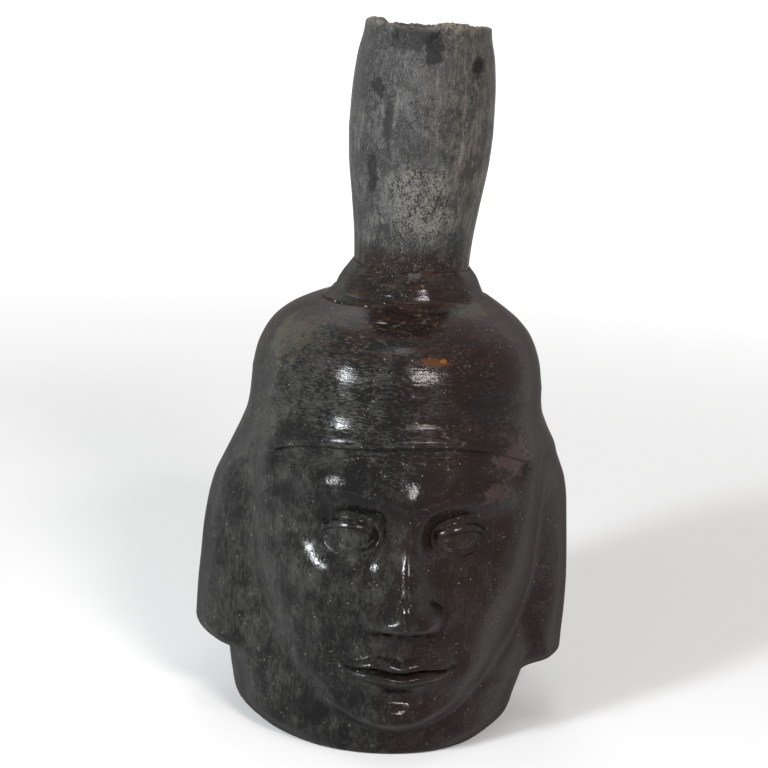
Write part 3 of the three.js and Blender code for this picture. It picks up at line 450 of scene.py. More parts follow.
def unevenness(angle, z):
    """Slow and quicker waves left by the potter's hands."""
    slow = np.sin(3 * angle + z / 19 + 0.6) * np.sin(z / 13 - 2 * angle + 1.1)
    quick = np.sin(7 * angle - z / 9 + 2.3) * np.sin(z / 6.1 + 5 * angle)
    return SLOW_WAVE * slow + QUICK_WAVE * quick


def outside(angle, z):
    """The visible surface, with its hand-made waves and a softened foot."""
    on_face = smoothstep(*FACE_CALM_COSINES, np.cos(angle))
    on_face = on_face * smoothstep(BAND_HEIGHT, BRIM.soft * BAND_HEIGHT, z)
    crown = smoothstep(CROWN_CALM * HEAD_HEIGHT, HEAD_HEIGHT, z)
    waves = unevenness(angle, z) * (1 - FACE_CALM * on_face) * (1 - crown)
    foot = np.clip(1 - z / FOOT_ROUNDING, 0, 1)
    return head_radius(angle, z) + waves - FOOT_ROUNDING * (1 - np.sqrt(1 - foot ** 2))


def behind_flaps(angle, z):
    """The shells' surface, cut back to the seat of each flap where a flap covers it."""
    low = np.where(np.sin(angle) < 0, LEFT_LOW, RIGHT_LOW)
    turn = turn_of(angle)
    covered = (turn > FLAP_FRONT_EDGE) & (turn < FLAP_BACK_EDGE) & (z > low) & (z < FLAP_TOP)
    cut = head_radius(angle, z) - head_radius(angle, z, False)
    return outside(angle, z) - np.where(covered, cut, 0)


def bore_radius(angle):
    """From the axis to the wall of the bore, which stands to the right with the neck."""
    bore = NECK_ROOT - NECK_WALL
    return NECK_OFFSET * np.sin(angle) + np.sqrt(bore ** 2 - (NECK_OFFSET * np.cos(angle)) ** 2)


def at(angle, radius, z):
    angle, radius, z = np.broadcast_arrays(angle, radius, z)
    return np.stack([radius * np.sin(angle), -radius * np.cos(angle), z], -1)


def facing(surface, angle, z):
    """Outward normals of a surface given as a radius at each angle and height."""
    turn, rise = 0.0004, 0.02
    side, front = np.sin(angle), np.cos(angle)
    low = np.maximum(z - rise, 0)
    radius = surface(angle, z)
    across = (surface(angle + turn, z) - surface(angle - turn, z)) / (2 * turn)
    up = (surface(angle, z + rise) - surface(angle, low)) / (z + rise - low)
    along = np.stack([across * side + radius * front, radius * side - across * front, 0 * radius], -1)
    rising = np.stack([up * side, -up * front, np.ones_like(radius)], -1)
    normal = np.cross(along, rising)
    return normal / np.linalg.norm(normal, axis=-1, keepdims=True)


def skin(name, points, normals, material, around=False):
    """A closed mesh from one closed loop of points for each column, capped unless it runs around."""
    columns, rows = points.shape[:2]
    i = np.arange(columns if around else columns - 1)[:, None]
    j = np.arange(rows)[None, :]
    after, above = (i + 1) % columns, (j + 1) % rows
    quads = np.stack([i * rows + j, after * rows + j, after * rows + above, i * rows + above], -1)
    faces = quads.reshape(-1, 4).tolist()
    if not around:
        faces.append(list(range(rows)))
        faces.append([(columns - 1) * rows + k for k in reversed(range(rows))])
    data = bpy.data.meshes.new(name)
    data.from_pydata((points.reshape(-1, 3) * MM).tolist(), [], faces)
    data.validate()
    data.shade_smooth()
    data.update()
    turned = np.zeros(len(data.vertices) * 3)
    data.vertex_normals.foreach_get("vector", turned)
    turned = turned.reshape(columns, rows, 3)
    shown = normals.shape[1]
    turned[:, :shown] = normals
    data.normals_split_custom_set_from_vertices(turned.reshape(-1, 3).tolist())
    data.materials.append(material)
    piece = bpy.data.objects.new(name, data)
    bpy.context.scene.collection.objects.link(piece)
    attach(piece, "root")
    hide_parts(name)


def spread(*stops):
    """A list of values through (start, step) stops up to the last value."""
    values = []
    for (start, step), (end, _) in zip(stops, stops[1:]):
        values.extend(np.linspace(start, end, max(round((end - start) / step), 1), endpoint=False))
    return np.array([*values, stops[-1][0]])


def with_pairs(values, edges):
    """Puts a close pair of sections at each edge."""
    near = [value for value in values if min(abs(value - edge) for edge in edges) > 4 * HAIR]
    return np.array(sorted([*near, *(edge + side * HAIR for edge in edges for side in (-1, 1))]))


def rounded(start, length, count):
    """Heights up a rounded edge, closest together where it starts."""
    return [start + length * (1 - math.cos(0.5 * math.pi * i / count)) for i in range(count)]


HEMS = [*rounded(RIGHT_HEM, RIGHT_CORNER, 12), *rounded(LEFT_HEM, LEFT_CORNER, 14)]
FOOT = rounded(0, FOOT_ROUNDING, 6)
ROW_STOPS = ((FOOT_ROUNDING, 1), (RIGHT_HEM, 0.5), (BAND_HEIGHT + 4, 0.8), (WAIST_HEIGHT, 1),
             (0.95 * HEAD_HEIGHT, 0.5), (HEAD_HEIGHT, 0))
HEIGHTS = [*FOOT, *HEMS, *spread(*ROW_STOPS)]


def tidy(values):
    """Sorted, without values that almost repeat."""
    kept = []
    for value in sorted(values):
        if not kept or value - kept[-1] > HAIR:
            kept.append(value)
    return np.array(kept)


def shell_skin(name, angles, material):
    heights = with_pairs(tidy(HEIGHTS), [LEFT_LOW, RIGHT_LOW, FLAP_TOP])
    angle, z = np.meshgrid(np.radians(angles), heights, indexing="ij")
    column = angle[:, :1]
    outer = at(angle, behind_flaps(angle, z), z)
    ceiling = HEAD_HEIGHT - SHELL_WALL
    bore = bore_radius(column)
    rim = behind_flaps(column, column * 0 + HEAD_HEIGHT)
    top = at(column, mix(rim, bore, np.array([0.25, 0.5, 0.75, 1])), HEAD_HEIGHT)
    cap_z, body_z = spread((WAIST_HEIGHT, 2), (ceiling, 0)), spread((0, 5), (WAIST_HEIGHT, 0))
    inner_z = np.array([*cap_z[::-1], *body_z[::-1][1:]])
    inner = at(column, hollow_radius(column + inner_z * 0, inner_z + column * 0), inner_z)
    roof = at(column, mix(bore, hollow_radius(column, column * 0 + ceiling), np.array([0, 0.5])), ceiling)
    points = np.concatenate([outer, top, roof, inner], 1)
    skin(name, points, facing(outside, angle, z), material)


def flap_skin(name, side, low, material):
    angles = spread((FLAP_FRONT_EDGE, 0.7), (FLAP_BACK_EDGE, 0))
    heights = np.array([low, *[h for h in tidy(HEIGHTS) if low + HAIR < h < FLAP_TOP - HAIR], FLAP_TOP])
    angle, z = np.meshgrid(np.radians(side * angles[::int(side)]), heights, indexing="ij")
    outer = at(angle, outside(angle, z), z)
    few = heights[::-6]
    few = np.array([*few, low] if few[-1] > low else few)
    seat_angle, seat_z = np.meshgrid(angle[:, 0], few, indexing="ij")
    seat = outside(seat_angle, seat_z) - head_radius(seat_angle, seat_z)
    seat = seat + head_radius(seat_angle, seat_z, False)
    points = np.concatenate([outer, at(seat_angle, seat + SKIN_GAP, seat_z)], 1)
    skin(name, points, facing(outside, angle, z), material)


# The floor, the neck and the collar
FLOOR_GAP, FLOOR_LIFT, FLOOR_BEVEL = 0.2, 0.5, 0.4


def floor_skin(material):
    """The disc set inside the foot, a little above the ground, with a bevelled edge underneath."""
    angles = np.radians(np.arange(0, 360, 3))[:, None]
    edge = hollow_radius(angles, angles * 0) - FLOOR_GAP
    shares = np.array([0.001, 0.25, 0.5, 0.75, 0.9, 1, 1, 0.9, 0.5, 0.001])
    heights = np.array([*[FLOOR_LIFT] * 5, FLOOR_LIFT + FLOOR_BEVEL, *[FLOOR_THICKNESS] * 4])
    points = at(angles, edge * shares, heights + angles * 0)
    skin("base_disc", points, np.zeros((len(angles), 0, 3)), material, around=True)


NECK_LENGTH = RIM_HEIGHT - neck_low.z / MM
NECK_CRACK_ANGLE, NECK_CRACK_WIDTH, NECK_CRACK_DEPTH = -38.5, 0.7, 0.8
NECK_CRACK_LOW, NECK_CRACK_FULL, NECK_CRACK_HIGH = 208.0, 220.0, 247.0
# The surface at the right of the crack has come off: depth, width of the edge and reach
FLAKED_DEPTH, FLAKED_EDGE, FLAKED_REACH = 0.25, 1.5, 6.0
RIM_SINK, RIM_ROUGHNESS = 0.12, 0.4
CHIP_EDGE = (0.7, 1.05)  # a chip's depth fades over these shares of its reach
ROOT_CALM = (0.05, 0.14)  # the wear begins over these shares of the neck's length
NECK_GOUGE = (41.0, 236.5, 3.2, 3.4, 1.0)  # angle, height, half width, half height and depth
NECK_CHIPS = (
    (-52.0, 201.0, 4.2, 7.0, 0.35),
    (-20.0, 224.0, 5.0, 3.0, 0.3),
    (8.0, 243.5, 6.5, 4.5, 0.45),
    (24.0, 214.0, 3.5, 9.0, 0.3),
    (-44.0, 236.0, 3.2, 6.0, 0.45),
    (150.0, 228.0, 6.0, 8.0, 0.5),
    (-130.0, 205.0, 5.0, 9.0, 0.4),
    (95.0, 190.0, 4.0, 10.0, 0.35),
)


def neck_radius(share):
    return mix(NECK_ROOT, NECK_SWELL, neck_swell(share)) - (NECK_SWELL - NECK_RIM) * neck_rim(share)


def neck_wear(angle, z):
    """Scraping marks, a long crack and shallow chips in the neck's surface."""
    turn = np.degrees(np.arctan2(np.sin(angle), np.cos(angle)))
    scraped = 0.07 * np.sin(11 * angle + 0.8 * np.sin(z / 17))
    scraped = scraped + 0.05 * np.sin(29 * angle + 1.4 * np.sin(z / 23 + 1))
    slow = 0.3 * np.sin(2 * angle + 0.7) * np.sin(z / 26) + 0.12 * np.sin(5 * angle - z / 21)
    wander = NECK_CRACK_ANGLE + 2.4 * np.sin(z / 5.3) + 1.1 * np.sin(z / 1.9 + 0.5)
    apart = (turn - wander) * DEGREE * NECK_SWELL
    long = smoothstep(NECK_CRACK_LOW, NECK_CRACK_FULL, z)
    long = long * (1 - 0.5 * smoothstep(NECK_CRACK_HIGH, RIM_HEIGHT, z))
    crack = NECK_CRACK_DEPTH * bell(apart / NECK_CRACK_WIDTH) * long
    worn = crack + FLAKED_DEPTH * smoothstep(0, FLAKED_EDGE, apart) * bell(apart / FLAKED_REACH) * long
    for place, height, half_width, half_height, depth in (NECK_GOUGE, *NECK_CHIPS):
        ragged = 1 + 0.22 * np.sin(9 * angle + z / 1.7) + 0.15 * np.sin(z / 0.8 - 31 * angle)
        side = (turn - place) * DEGREE * NECK_SWELL / half_width
        reach = np.hypot(side, (z - height) / half_height) * ragged
        worn = worn + depth * (1 - smoothstep(*CHIP_EDGE, reach))
    return scraped + slow - worn


def rim_drop(angle):
    """How far the broken rim lies below its highest point."""
    turn = np.degrees(np.arctan2(np.sin(angle), np.cos(angle)))
    rough = 0.08 * np.sin(17 * angle + 0.4) + 0.06 * np.sin(41 * angle + 1.2)
    rough = rough + 0.04 * np.sin(83 * angle + 0.3)
    return RIM_WEAR * rim_wear(turn) + RIM_SINK + rough * (RIM_ROUGHNESS + rim_wear(turn))


def neck_skin(material):
    """The swelling neck, its wall closed over a rounded, chipped rim."""
    column = np.radians(np.arange(0, 360, 1))[:, None]
    low, bend = neck_low.z / MM, RIM_HEIGHT - RIM_ROUNDING
    rise = spread((low, 0.65), (bend, 0))
    angle, z = np.meshgrid(column[:, 0], rise, indexing="ij")

    def wall(angle, z):
        share = (z - low) / NECK_LENGTH
        return neck_radius(share) + neck_wear(angle, z) * smoothstep(*ROOT_CALM, share)

    def lowered(z):
        return z - rim_drop(column) * smoothstep(RIM_HEIGHT - 4 * RIM_WEAR, RIM_HEIGHT, z)

    outer_radius = wall(angle, z)
    edge = np.linspace(0, math.pi, 11)[1:-1]
    lip = 0.5 * (1 - np.cos(edge))
    chipped = 0.12 * np.sin(19 * column + 5 * lip) + 0.1 * np.sin(43 * column - 9 * lip)
    outer_end = wall(column, column * 0 + bend)
    inner_end = neck_radius(1) - NECK_WALL
    crown_radius = mix(outer_end, inner_end, lip)
    crown_z = bend + RIM_ROUNDING * np.sin(edge) ** 0.55 + chipped * np.sin(edge)
    inner_z = spread((low, 3), (bend, 0))[::-1]
    inner_radius = neck_radius((inner_z - low) / NECK_LENGTH) - NECK_WALL
    inner_radius = inner_radius + 0.15 * np.sin(inner_z / 2.6) + column * 0
    radius = np.concatenate([outer_radius, crown_radius, inner_radius], 1)
    height = np.concatenate([lowered(z), lowered(crown_z), lowered(inner_z)], 1)
    points = at(column, radius, height) + np.array([NECK_OFFSET, 0, 0])
    skin("neck", points, np.zeros((len(column), 0, 3)), material, around=True)


COLLAR_SEAT, COLLAR_CREST = HEAD_HEIGHT + LUTE_GAP, collar_high.z / MM
COLLAR_SPREAD = 5.0  # how far the collar's foot is smoothed out over the cap
COLLAR_LIP = NECK_ROOT + 0.55
COLLAR_FILLET = 1.6
COLLAR_LIP_RISE = 0.35
COLLAR_EDGE_DROP, COLLAR_INSIDE = 1, 2  # below the crest
FOOT_BLEND = 0.35  # the share of the collar that runs out flat on the cap
FOOT_SINK = 0.25  # the thin edge of the collar's foot is pressed into the cap
# The collar's profile: share of the way out from lip to seat, share of the way down from crest to seat
COLLAR_SHARES = ((0, 0), (0.25, 0.2), (0.45, 0.39), (0.6, 0.57), (0.72, 0.72), (0.85, 0.9), (1.1, 1.05),
                 (1.6, 1.3))


def collar_skin(material):
    """A ring of clay drawn up from the cap to a chipped crease round the neck's root."""
    column = np.radians(np.arange(0, 360, 1))[:, None]
    dome = np.linspace(0.8 * HEAD_HEIGHT, HEAD_HEIGHT, 160)
    foot_radius = COLLAR_RADIUS + COLLAR_SPREAD + 0.5 * np.sin(5 * column + 1) + 0.3 * np.sin(11 * column)
    reaches = outside(np.radians(np.arange(0, 362))[:, None], dome[None, :])

    def on_dome(radius):
        """Heights of the cap's surface under the collar."""
        across, along = radius * np.sin(column) + NECK_OFFSET, radius * np.cos(column)
        turns, away = np.degrees(np.arctan2(across, along)) % 360, np.hypot(across, along)
        heights = np.zeros_like(away)
        for place in np.ndindex(away.shape):
            i = int(turns[place])
            before, after = (np.interp(away[place], reaches[k][::-1], dome[::-1]) for k in (i, i + 1))
            heights[place] = mix(before, after, turns[place] % 1)
        return heights

    t = np.linspace(0, 1, 48)[None, :]
    radius = mix(foot_radius, COLLAR_LIP, t)
    crease = 0.4 * np.sin(3 * column + 0.6) + 0.25 * np.sin(8 * column + 2) + 0.16 * np.sin(19 * column)
    edge = COLLAR_CREST - COLLAR_EDGE_DROP + crease
    drop = outline(COLLAR_SHARES)((radius - COLLAR_LIP) / (COLLAR_RADIUS - COLLAR_LIP))
    pinched = 0.3 * np.sin(5 * column + 0.9 * radius) + 0.15 * np.sin(13 * column - 1.3 * radius)
    height = mix(edge, COLLAR_SEAT, drop) + pinched * np.sin(np.pi * t)
    dome_z = on_dome(radius)
    raised = soft_max(height - dome_z, SKIN_GAP + 0 * radius, COLLAR_FILLET)
    z = dome_z + raised * smoothstep(0, FOOT_BLEND, t) - FOOT_SINK * (1 - t) ** 6
    lip = np.array([0.3, 0.6, 0.85, 1])
    bore = NECK_ROOT + SKIN_GAP
    lip_radius = mix(COLLAR_LIP, bore, 1 - np.cos(0.5 * math.pi * lip)) + column * 0
    lip_z = edge + COLLAR_LIP_RISE * np.sin(0.5 * math.pi * lip)
    under_radius = np.array([bore, bore, mix(bore, COLLAR_RADIUS, 0.5), COLLAR_RADIUS]) + column * 0
    under_z = np.array([COLLAR_CREST - COLLAR_INSIDE, *[HEAD_HEIGHT + SKIN_GAP] * 3]) + column * 0
    radii = np.concatenate([radius, lip_radius, under_radius], 1)
    points = at(column, radii, np.concatenate([z, lip_z, under_z], 1)) + np.array([NECK_OFFSET, 0, 0])
    skin("neck_collar", points, np.zeros((len(column), 0, 3)), material, around=True)


# Materials, in millimetres of object space
POTTERY_SHINE = 0.13
BURNISHED_BUMP, WORN_BUMP = (0.55, 0.22), (0.65, 0.3)  # strength, and depth in millimetres
NEAR_BLACK, FILM_GREY = (0.0055, 0.0052, 0.005), (0.041, 0.0425, 0.038)
DARK_BROWN, RED_BROWN, OLIVE = (0.011, 0.0058, 0.0042), (0.03, 0.0125, 0.0075), (0.07, 0.064, 0.04)
FILM_BROWN = (0.028, 0.0235, 0.02)
PALE_DUST, BRIGHT_ORANGE = (0.26, 0.24, 0.19), (0.21, 0.075, 0.02)
ORANGE_BROWN, PLUM = (0.12, 0.042, 0.011), (0.06, 0.038, 0.036)
NECK_BLACK, NECK_DARK, NECK_GREY = (0.008, 0.0075, 0.0075), (0.021, 0.0205, 0.0205), (0.06, 0.0615, 0.061)
NECK_WARM, NECK_PALE, RIM_BUFF = (0.066, 0.056, 0.045), (0.17, 0.165, 0.14), (0.22, 0.19, 0.145)

# Zones, each from where a look starts to where it is complete, along the height or from side to side
CAP_ZONE, CROWN_BARE_ZONE, CROWN_RED_ZONE, CRUMB_ZONE = (96, 112), (142, 153), (128, 150), (136, 150)
NEAR_NECK_ZONE = (158, 170)
LEFT_ZONE, DARK_ZONE, BROWN_ZONE = (14, -46), (2, 34), (0, 36)
NECK_TOP_ZONE, NECK_ROOT_ZONE, NECK_SEAM_ZONE = (218, 242), (196, 178), (182, 173)
NECK_DUST_ZONE, NECK_RIM_ZONE = (186, 176), (246, 249.5)
NECK_LEFT_SHADE_ZONE, NECK_RIGHT_ZONE = (-7, -22), (0, 24)
WORN_PATCH = ((1, -21, 189), (11, 12, 18), 1.2)  # place, reach along x, y and z, and raggedness

# Marks: place, reach along x, y and z, raggedness, colour and share
CAP_MARKS = (
    # An orange-brown spot on the cap's front, with a small bright orange core
    ((6.2, -49.3, 140.2), (5.2, 4, 1.4), 1.8, ORANGE_BROWN, 0.45),
    ((8.9, -48.6, 140.6), (1.2, 2.5, 0.6), 1.0, BRIGHT_ORANGE, 0.7),
    ((-14.6, -36.0, 150.0), (4.2, 2, 0.3), 0.35, PALE_DUST, 0.4),
    ((-11.5, -36.0, 150.1), (2.4, 2, 0.36), 0.35, PALE_DUST, 0.6),
    ((35.4, -44.1, 107.3), (8, 8, 6), 2, PLUM, 0.7),
    ((30.4, -50.7, 96.0), (6, 6, 3), 2, PLUM, 0.6),
    ((20.5, -24.0, 153.4), (7, 8, 2.6), 2.2, OLIVE, 0.4),
    ((-41.0, -22.0, 142.0), (10, 12, 8), 2.4, OLIVE, 0.4),
    ((6.2, -20.5, 165.0), (3, 2.4, 1.2), 0.8, RED_BROWN, 0.9),
    ((-36.0, -38.0, 113.0), (9, 8, 5.5), 1.1, NEAR_BLACK, 0.75),
    ((24.0, -46.0, 126.0), (12, 9, 6), 1.1, NEAR_BLACK, 0.6),
)
NECK_MARKS = (
    ((-6.0, -20.5, 244.0), (9, 7, 4.5), 1.2, NECK_BLACK, 0.7),
    ((1.6, -21.8, 240.0), (3.2, 4, 7.5), 1.1, NECK_BLACK, 0.9),
    ((-16.0, -16.0, 227.5), (3.4, 3.4, 3.4), 1.5, NECK_BLACK, 0.8),
    ((17.8, -17.0, 236.0), (2.8, 3.2, 3), 1.1, NECK_BLACK, 0.95),
    ((-11.8, -20.3, 216.5), (1.9, 2.6, 9), 1, NECK_DARK, 0.9),
    ((-15.4, -15.5, 198.0), (2.2, 2.6, 8), 1.3, NECK_BLACK, 0.75),
    ((-1.0, -23.5, 207.0), (8.5, 6, 7), 1.2, NECK_DARK, 0.5),
    ((21.5, -12.0, 215.0), (2, 5, 16), 1.2, NECK_DARK, 0.7),
)


class Nodes:
    """A node tree, built up from small named steps."""

    def __init__(self, owner):
        owner.use_nodes = True
        self.tree = owner.node_tree

    def node(self, kind, **values):
        made = self.tree.nodes.new(kind)
        for name, value in values.items():
            self.feed(made.inputs[name.replace("_", " ")], value)
        return made

    def feed(self, socket, value):
        if isinstance(value, bpy.types.NodeSocket):
            self.tree.links.new(value, socket)
        else:
            socket.default_value = (*value, 1) if socket.type == "RGBA" else value

    def step(self, kind, operation, values):
        made = self.tree.nodes.new(kind)
        made.operation = operation
        for socket, value in zip(made.inputs, values):
            self.feed(socket, value)
        return made

    def math(self, operation, *values):
        return self.step("ShaderNodeMath", operation, values).outputs[0]

    def vector(self, operation, *values):
        made = self.step("ShaderNodeVectorMath", operation, values)
        return made.outputs["Value" if operation == "LENGTH" else "Vector"]

    def between(self, value, start, end, low=0, high=1):
        """A smooth change from low to high while the value goes from start to end."""
        made = self.node("ShaderNodeMapRange", Value=value, From_Min=start, From_Max=end, To_Min=low,
                         To_Max=high)
        made.interpolation_type = "SMOOTHSTEP"
        return made.outputs["Result"]


class Clay(Nodes):
    """A material of fired clay, painted in coats."""

    def __init__(self, name):
        self.material = bpy.data.materials.new(name)
        super().__init__(self.material)
        self.shader = self.tree.nodes["Principled BSDF"]
        texture = self.node("ShaderNodeTexCoord")
        self.place = self.vector("MULTIPLY", texture.outputs["Object"], (1 / MM, 1 / MM, 1 / MM))
        self.x, _, self.z = self.node("ShaderNodeSeparateXYZ", Vector=self.place).outputs
        self.colour = None

    def noise(self, size, detail=3, roughness=0.55, stretch=(1, 1, 1), distortion=0, offset=0):
        """Noise whose features have about this size in millimetres, stretched along each axis."""
        place = self.vector("DIVIDE", self.vector("ADD", self.place, (offset, offset, offset)), stretch)
        made = self.node("ShaderNodeTexNoise", Vector=place, Scale=1 / size, Detail=detail,
                         Roughness=roughness, Distortion=distortion)
        return made.outputs["Fac"]

    def times(self, *values):
        result = values[0]
        for value in values[1:]:
            result = self.math("MULTIPLY", result, value)
        return result

    def plus(self, *values):
        """The sum of values, in which a pair is a value and its weight."""
        result, *rest = (self.times(*value) if isinstance(value, tuple) else value for value in values)
        for value in rest:
            result = self.math("ADD", result, value)
        return result

    def cells(self, scale, start, end):
        """Dots round the middles of scattered cells, from 0 outside to 1 inside."""
        cells = self.node("ShaderNodeTexVoronoi", Vector=self.place, Scale=scale, Randomness=1)
        return self.between(cells.outputs["Distance"], start, end)

    def paint(self, share, below, above):
        """A mix of two colours."""
        made = self.tree.nodes.new("ShaderNodeMix")
        made.data_type = "RGBA"
        self.feed(made.inputs["Factor"], share)
        self.feed(made.inputs[6], below)
        self.feed(made.inputs[7], above)
        return made.outputs[2]

    def coat(self, tint, *shares):
        """Lays a colour over the ones before, as far as the product of the shares says."""
        self.colour = self.paint(self.times(*shares), self.colour, tint)

    def blend(self, share, below, above):
        """A mix of two values."""
        made = self.tree.nodes.new("ShaderNodeMix")
        self.feed(made.inputs["Factor"], share)
        self.feed(made.inputs[2], below)
        self.feed(made.inputs[3], above)
        return made.outputs[0]

    def patch(self, centre, reach, ragged):
        """1 inside a ragged patch round a place on the surface, 0 outside."""
        offset = self.vector("DIVIDE", self.vector("SUBTRACT", self.place, centre), reach)
        wild = self.math("MULTIPLY_ADD", self.noise(0.8 * min(reach), 5, 0.72), ragged * 2, -ragged)
        return self.between(self.plus(self.vector("LENGTH", offset), wild), 1.15, 0.7)

    def marks(self, rows):
        for centre, reach, ragged, tint, share in rows:
            self.coat(tint, self.patch(centre, reach, ragged), share)

    def finish(self, roughness, height, strength, distance):
        self.feed(self.shader.inputs["Base Color"], self.colour)
        self.feed(self.shader.inputs["Roughness"], roughness)
        self.shader.inputs["Specular IOR Level"].default_value = POTTERY_SHINE
        bump = self.node("ShaderNodeBump", Height=height, Strength=strength, Distance=distance * MM)
        self.feed(self.shader.inputs["Normal"], bump.outputs["Normal"])
        return self.material


def burnished_clay():
    """Near-black polished clay under a fine dusty film, brushed sideways on the cap and downwards below."""
    clay = Clay("burnished_clay")
    between, times, plus, noise, coat = clay.between, clay.times, clay.plus, clay.noise, clay.coat
    on_cap = between(clay.z, *CAP_ZONE)
    fine_below = noise(0.9, 5, 0.7, stretch=(1, 1, 3), distortion=0.3)
    fine_above = noise(0.55, 5, 0.7, stretch=(3.5, 3.5, 1), distortion=0.3)
    fine = clay.blend(on_cap, plus((fine_below, 0.5), 0.25), fine_above)
    strokes_below = noise(2.4, 5, 0.66, stretch=(1, 1, 5), distortion=0.3)
    strokes_above = noise(1.7, 5, 0.68, stretch=(7, 7, 1), distortion=0.5)
    strokes = clay.blend(on_cap, strokes_below, strokes_above)
    brushed_below = noise(1.1, 2, 0.5, stretch=(1, 1, 6))
    brushed_above = noise(0.9, 2, 0.5, stretch=(8, 8, 1))
    brushed = clay.blend(on_cap, brushed_below, brushed_above)
    relief = noise(1.6, 3, 0.6, offset=12)
    cloud = noise(9, 6, 0.66, distortion=0.3)
    blotch = noise(28, 4, 0.55, offset=70)

    # The film, greyer at the left and browner at the right
    left = between(clay.x, *LEFT_ZONE)
    amount = plus((left, 0.14), (cloud, 1.4), (blotch, 0.7), -0.72)
    amount = plus(amount, (between(clay.z, *CROWN_BARE_ZONE), -0.25))
    amount = plus(amount, (fine, 2.2), (strokes, 0.7), -1.45)
    cover = between(amount, 0.2, 0.95)
    to_dark = between(plus(clay.x, (blotch, 40)), *DARK_ZONE)
    to_brown = between(plus(clay.x, (blotch, 30)), *BROWN_ZONE)
    dark = clay.paint(to_dark, NEAR_BLACK, DARK_BROWN)
    film = clay.paint(to_brown, FILM_GREY, FILM_BROWN)
    clay.colour = clay.paint(cover, dark, film)

    # The crown's red strokes and crumbs, the scuffs, specks and scratches, and the dust round the neck
    coat(RED_BROWN, between(clay.z, *CROWN_RED_ZONE), between(strokes, 0.45, 0.6), 0.5)
    crumbs = plus(noise(0.9, 5, 0.7, offset=33), (cloud, 0.4))
    coat(FILM_BROWN, between(crumbs, 0.7, 0.78), between(clay.z, *CRUMB_ZONE), 0.35)
    worn = between(noise(15, 6, 0.7, offset=40), 0.52, 0.62)
    rubbed = between(plus(fine, (relief, 0.6)), 0.86, 0.96)
    scuffed = times(worn, rubbed, plus(0.3, (on_cap, 0.7)))
    coat(OLIVE, scuffed, 0.8)
    specks = times(between(noise(0.8, 2, 0.5, offset=7), 0.71, 0.75), between(cloud, 0.42, 0.56))
    specks = clay.math("MAXIMUM", specks, clay.cells(0.25, 0.065, 0.035))
    coat(PALE_DUST, specks, 0.85)
    ridge = clay.math("ABSOLUTE", plus(noise(8, 2, 0.5, stretch=(1, 1, 0.3), offset=90), -0.5))
    scratch = times(between(ridge, 0.004, 0.001), between(noise(14, 2, offset=21), 0.55, 0.62))
    coat(PALE_DUST, scratch, 0.35)
    dusty = between(plus(fine, (cloud, 0.8)), 0.82, 1)
    coat(FILM_GREY, between(clay.z, *NEAR_NECK_ZONE), dusty, 0.8)
    clay.marks(CAP_MARKS)

    # Rougher towards the edges, so that the white surroundings are mirrored less clearly there
    edge = between(clay.node("ShaderNodeLayerWeight", Blend=0.5).outputs["Facing"], 0.35, 0.8)
    rough = plus(0.11, (cover, 0.12), (scuffed, 0.12), (specks, 0.3), (edge, 0.5))
    pitted = times(clay.cells(0.42, 0.2, 0.06), between(noise(11, 3, offset=55), 0.5, 0.6))
    height = plus((strokes, 0.36), (brushed, 0.55), (relief, 0.5), (cover, 0.06), (pitted, -0.9),
                  (scratch, -0.4), (blotch, 1.5), (scuffed, -0.15))
    return clay.finish(rough, height, *BURNISHED_BUMP)


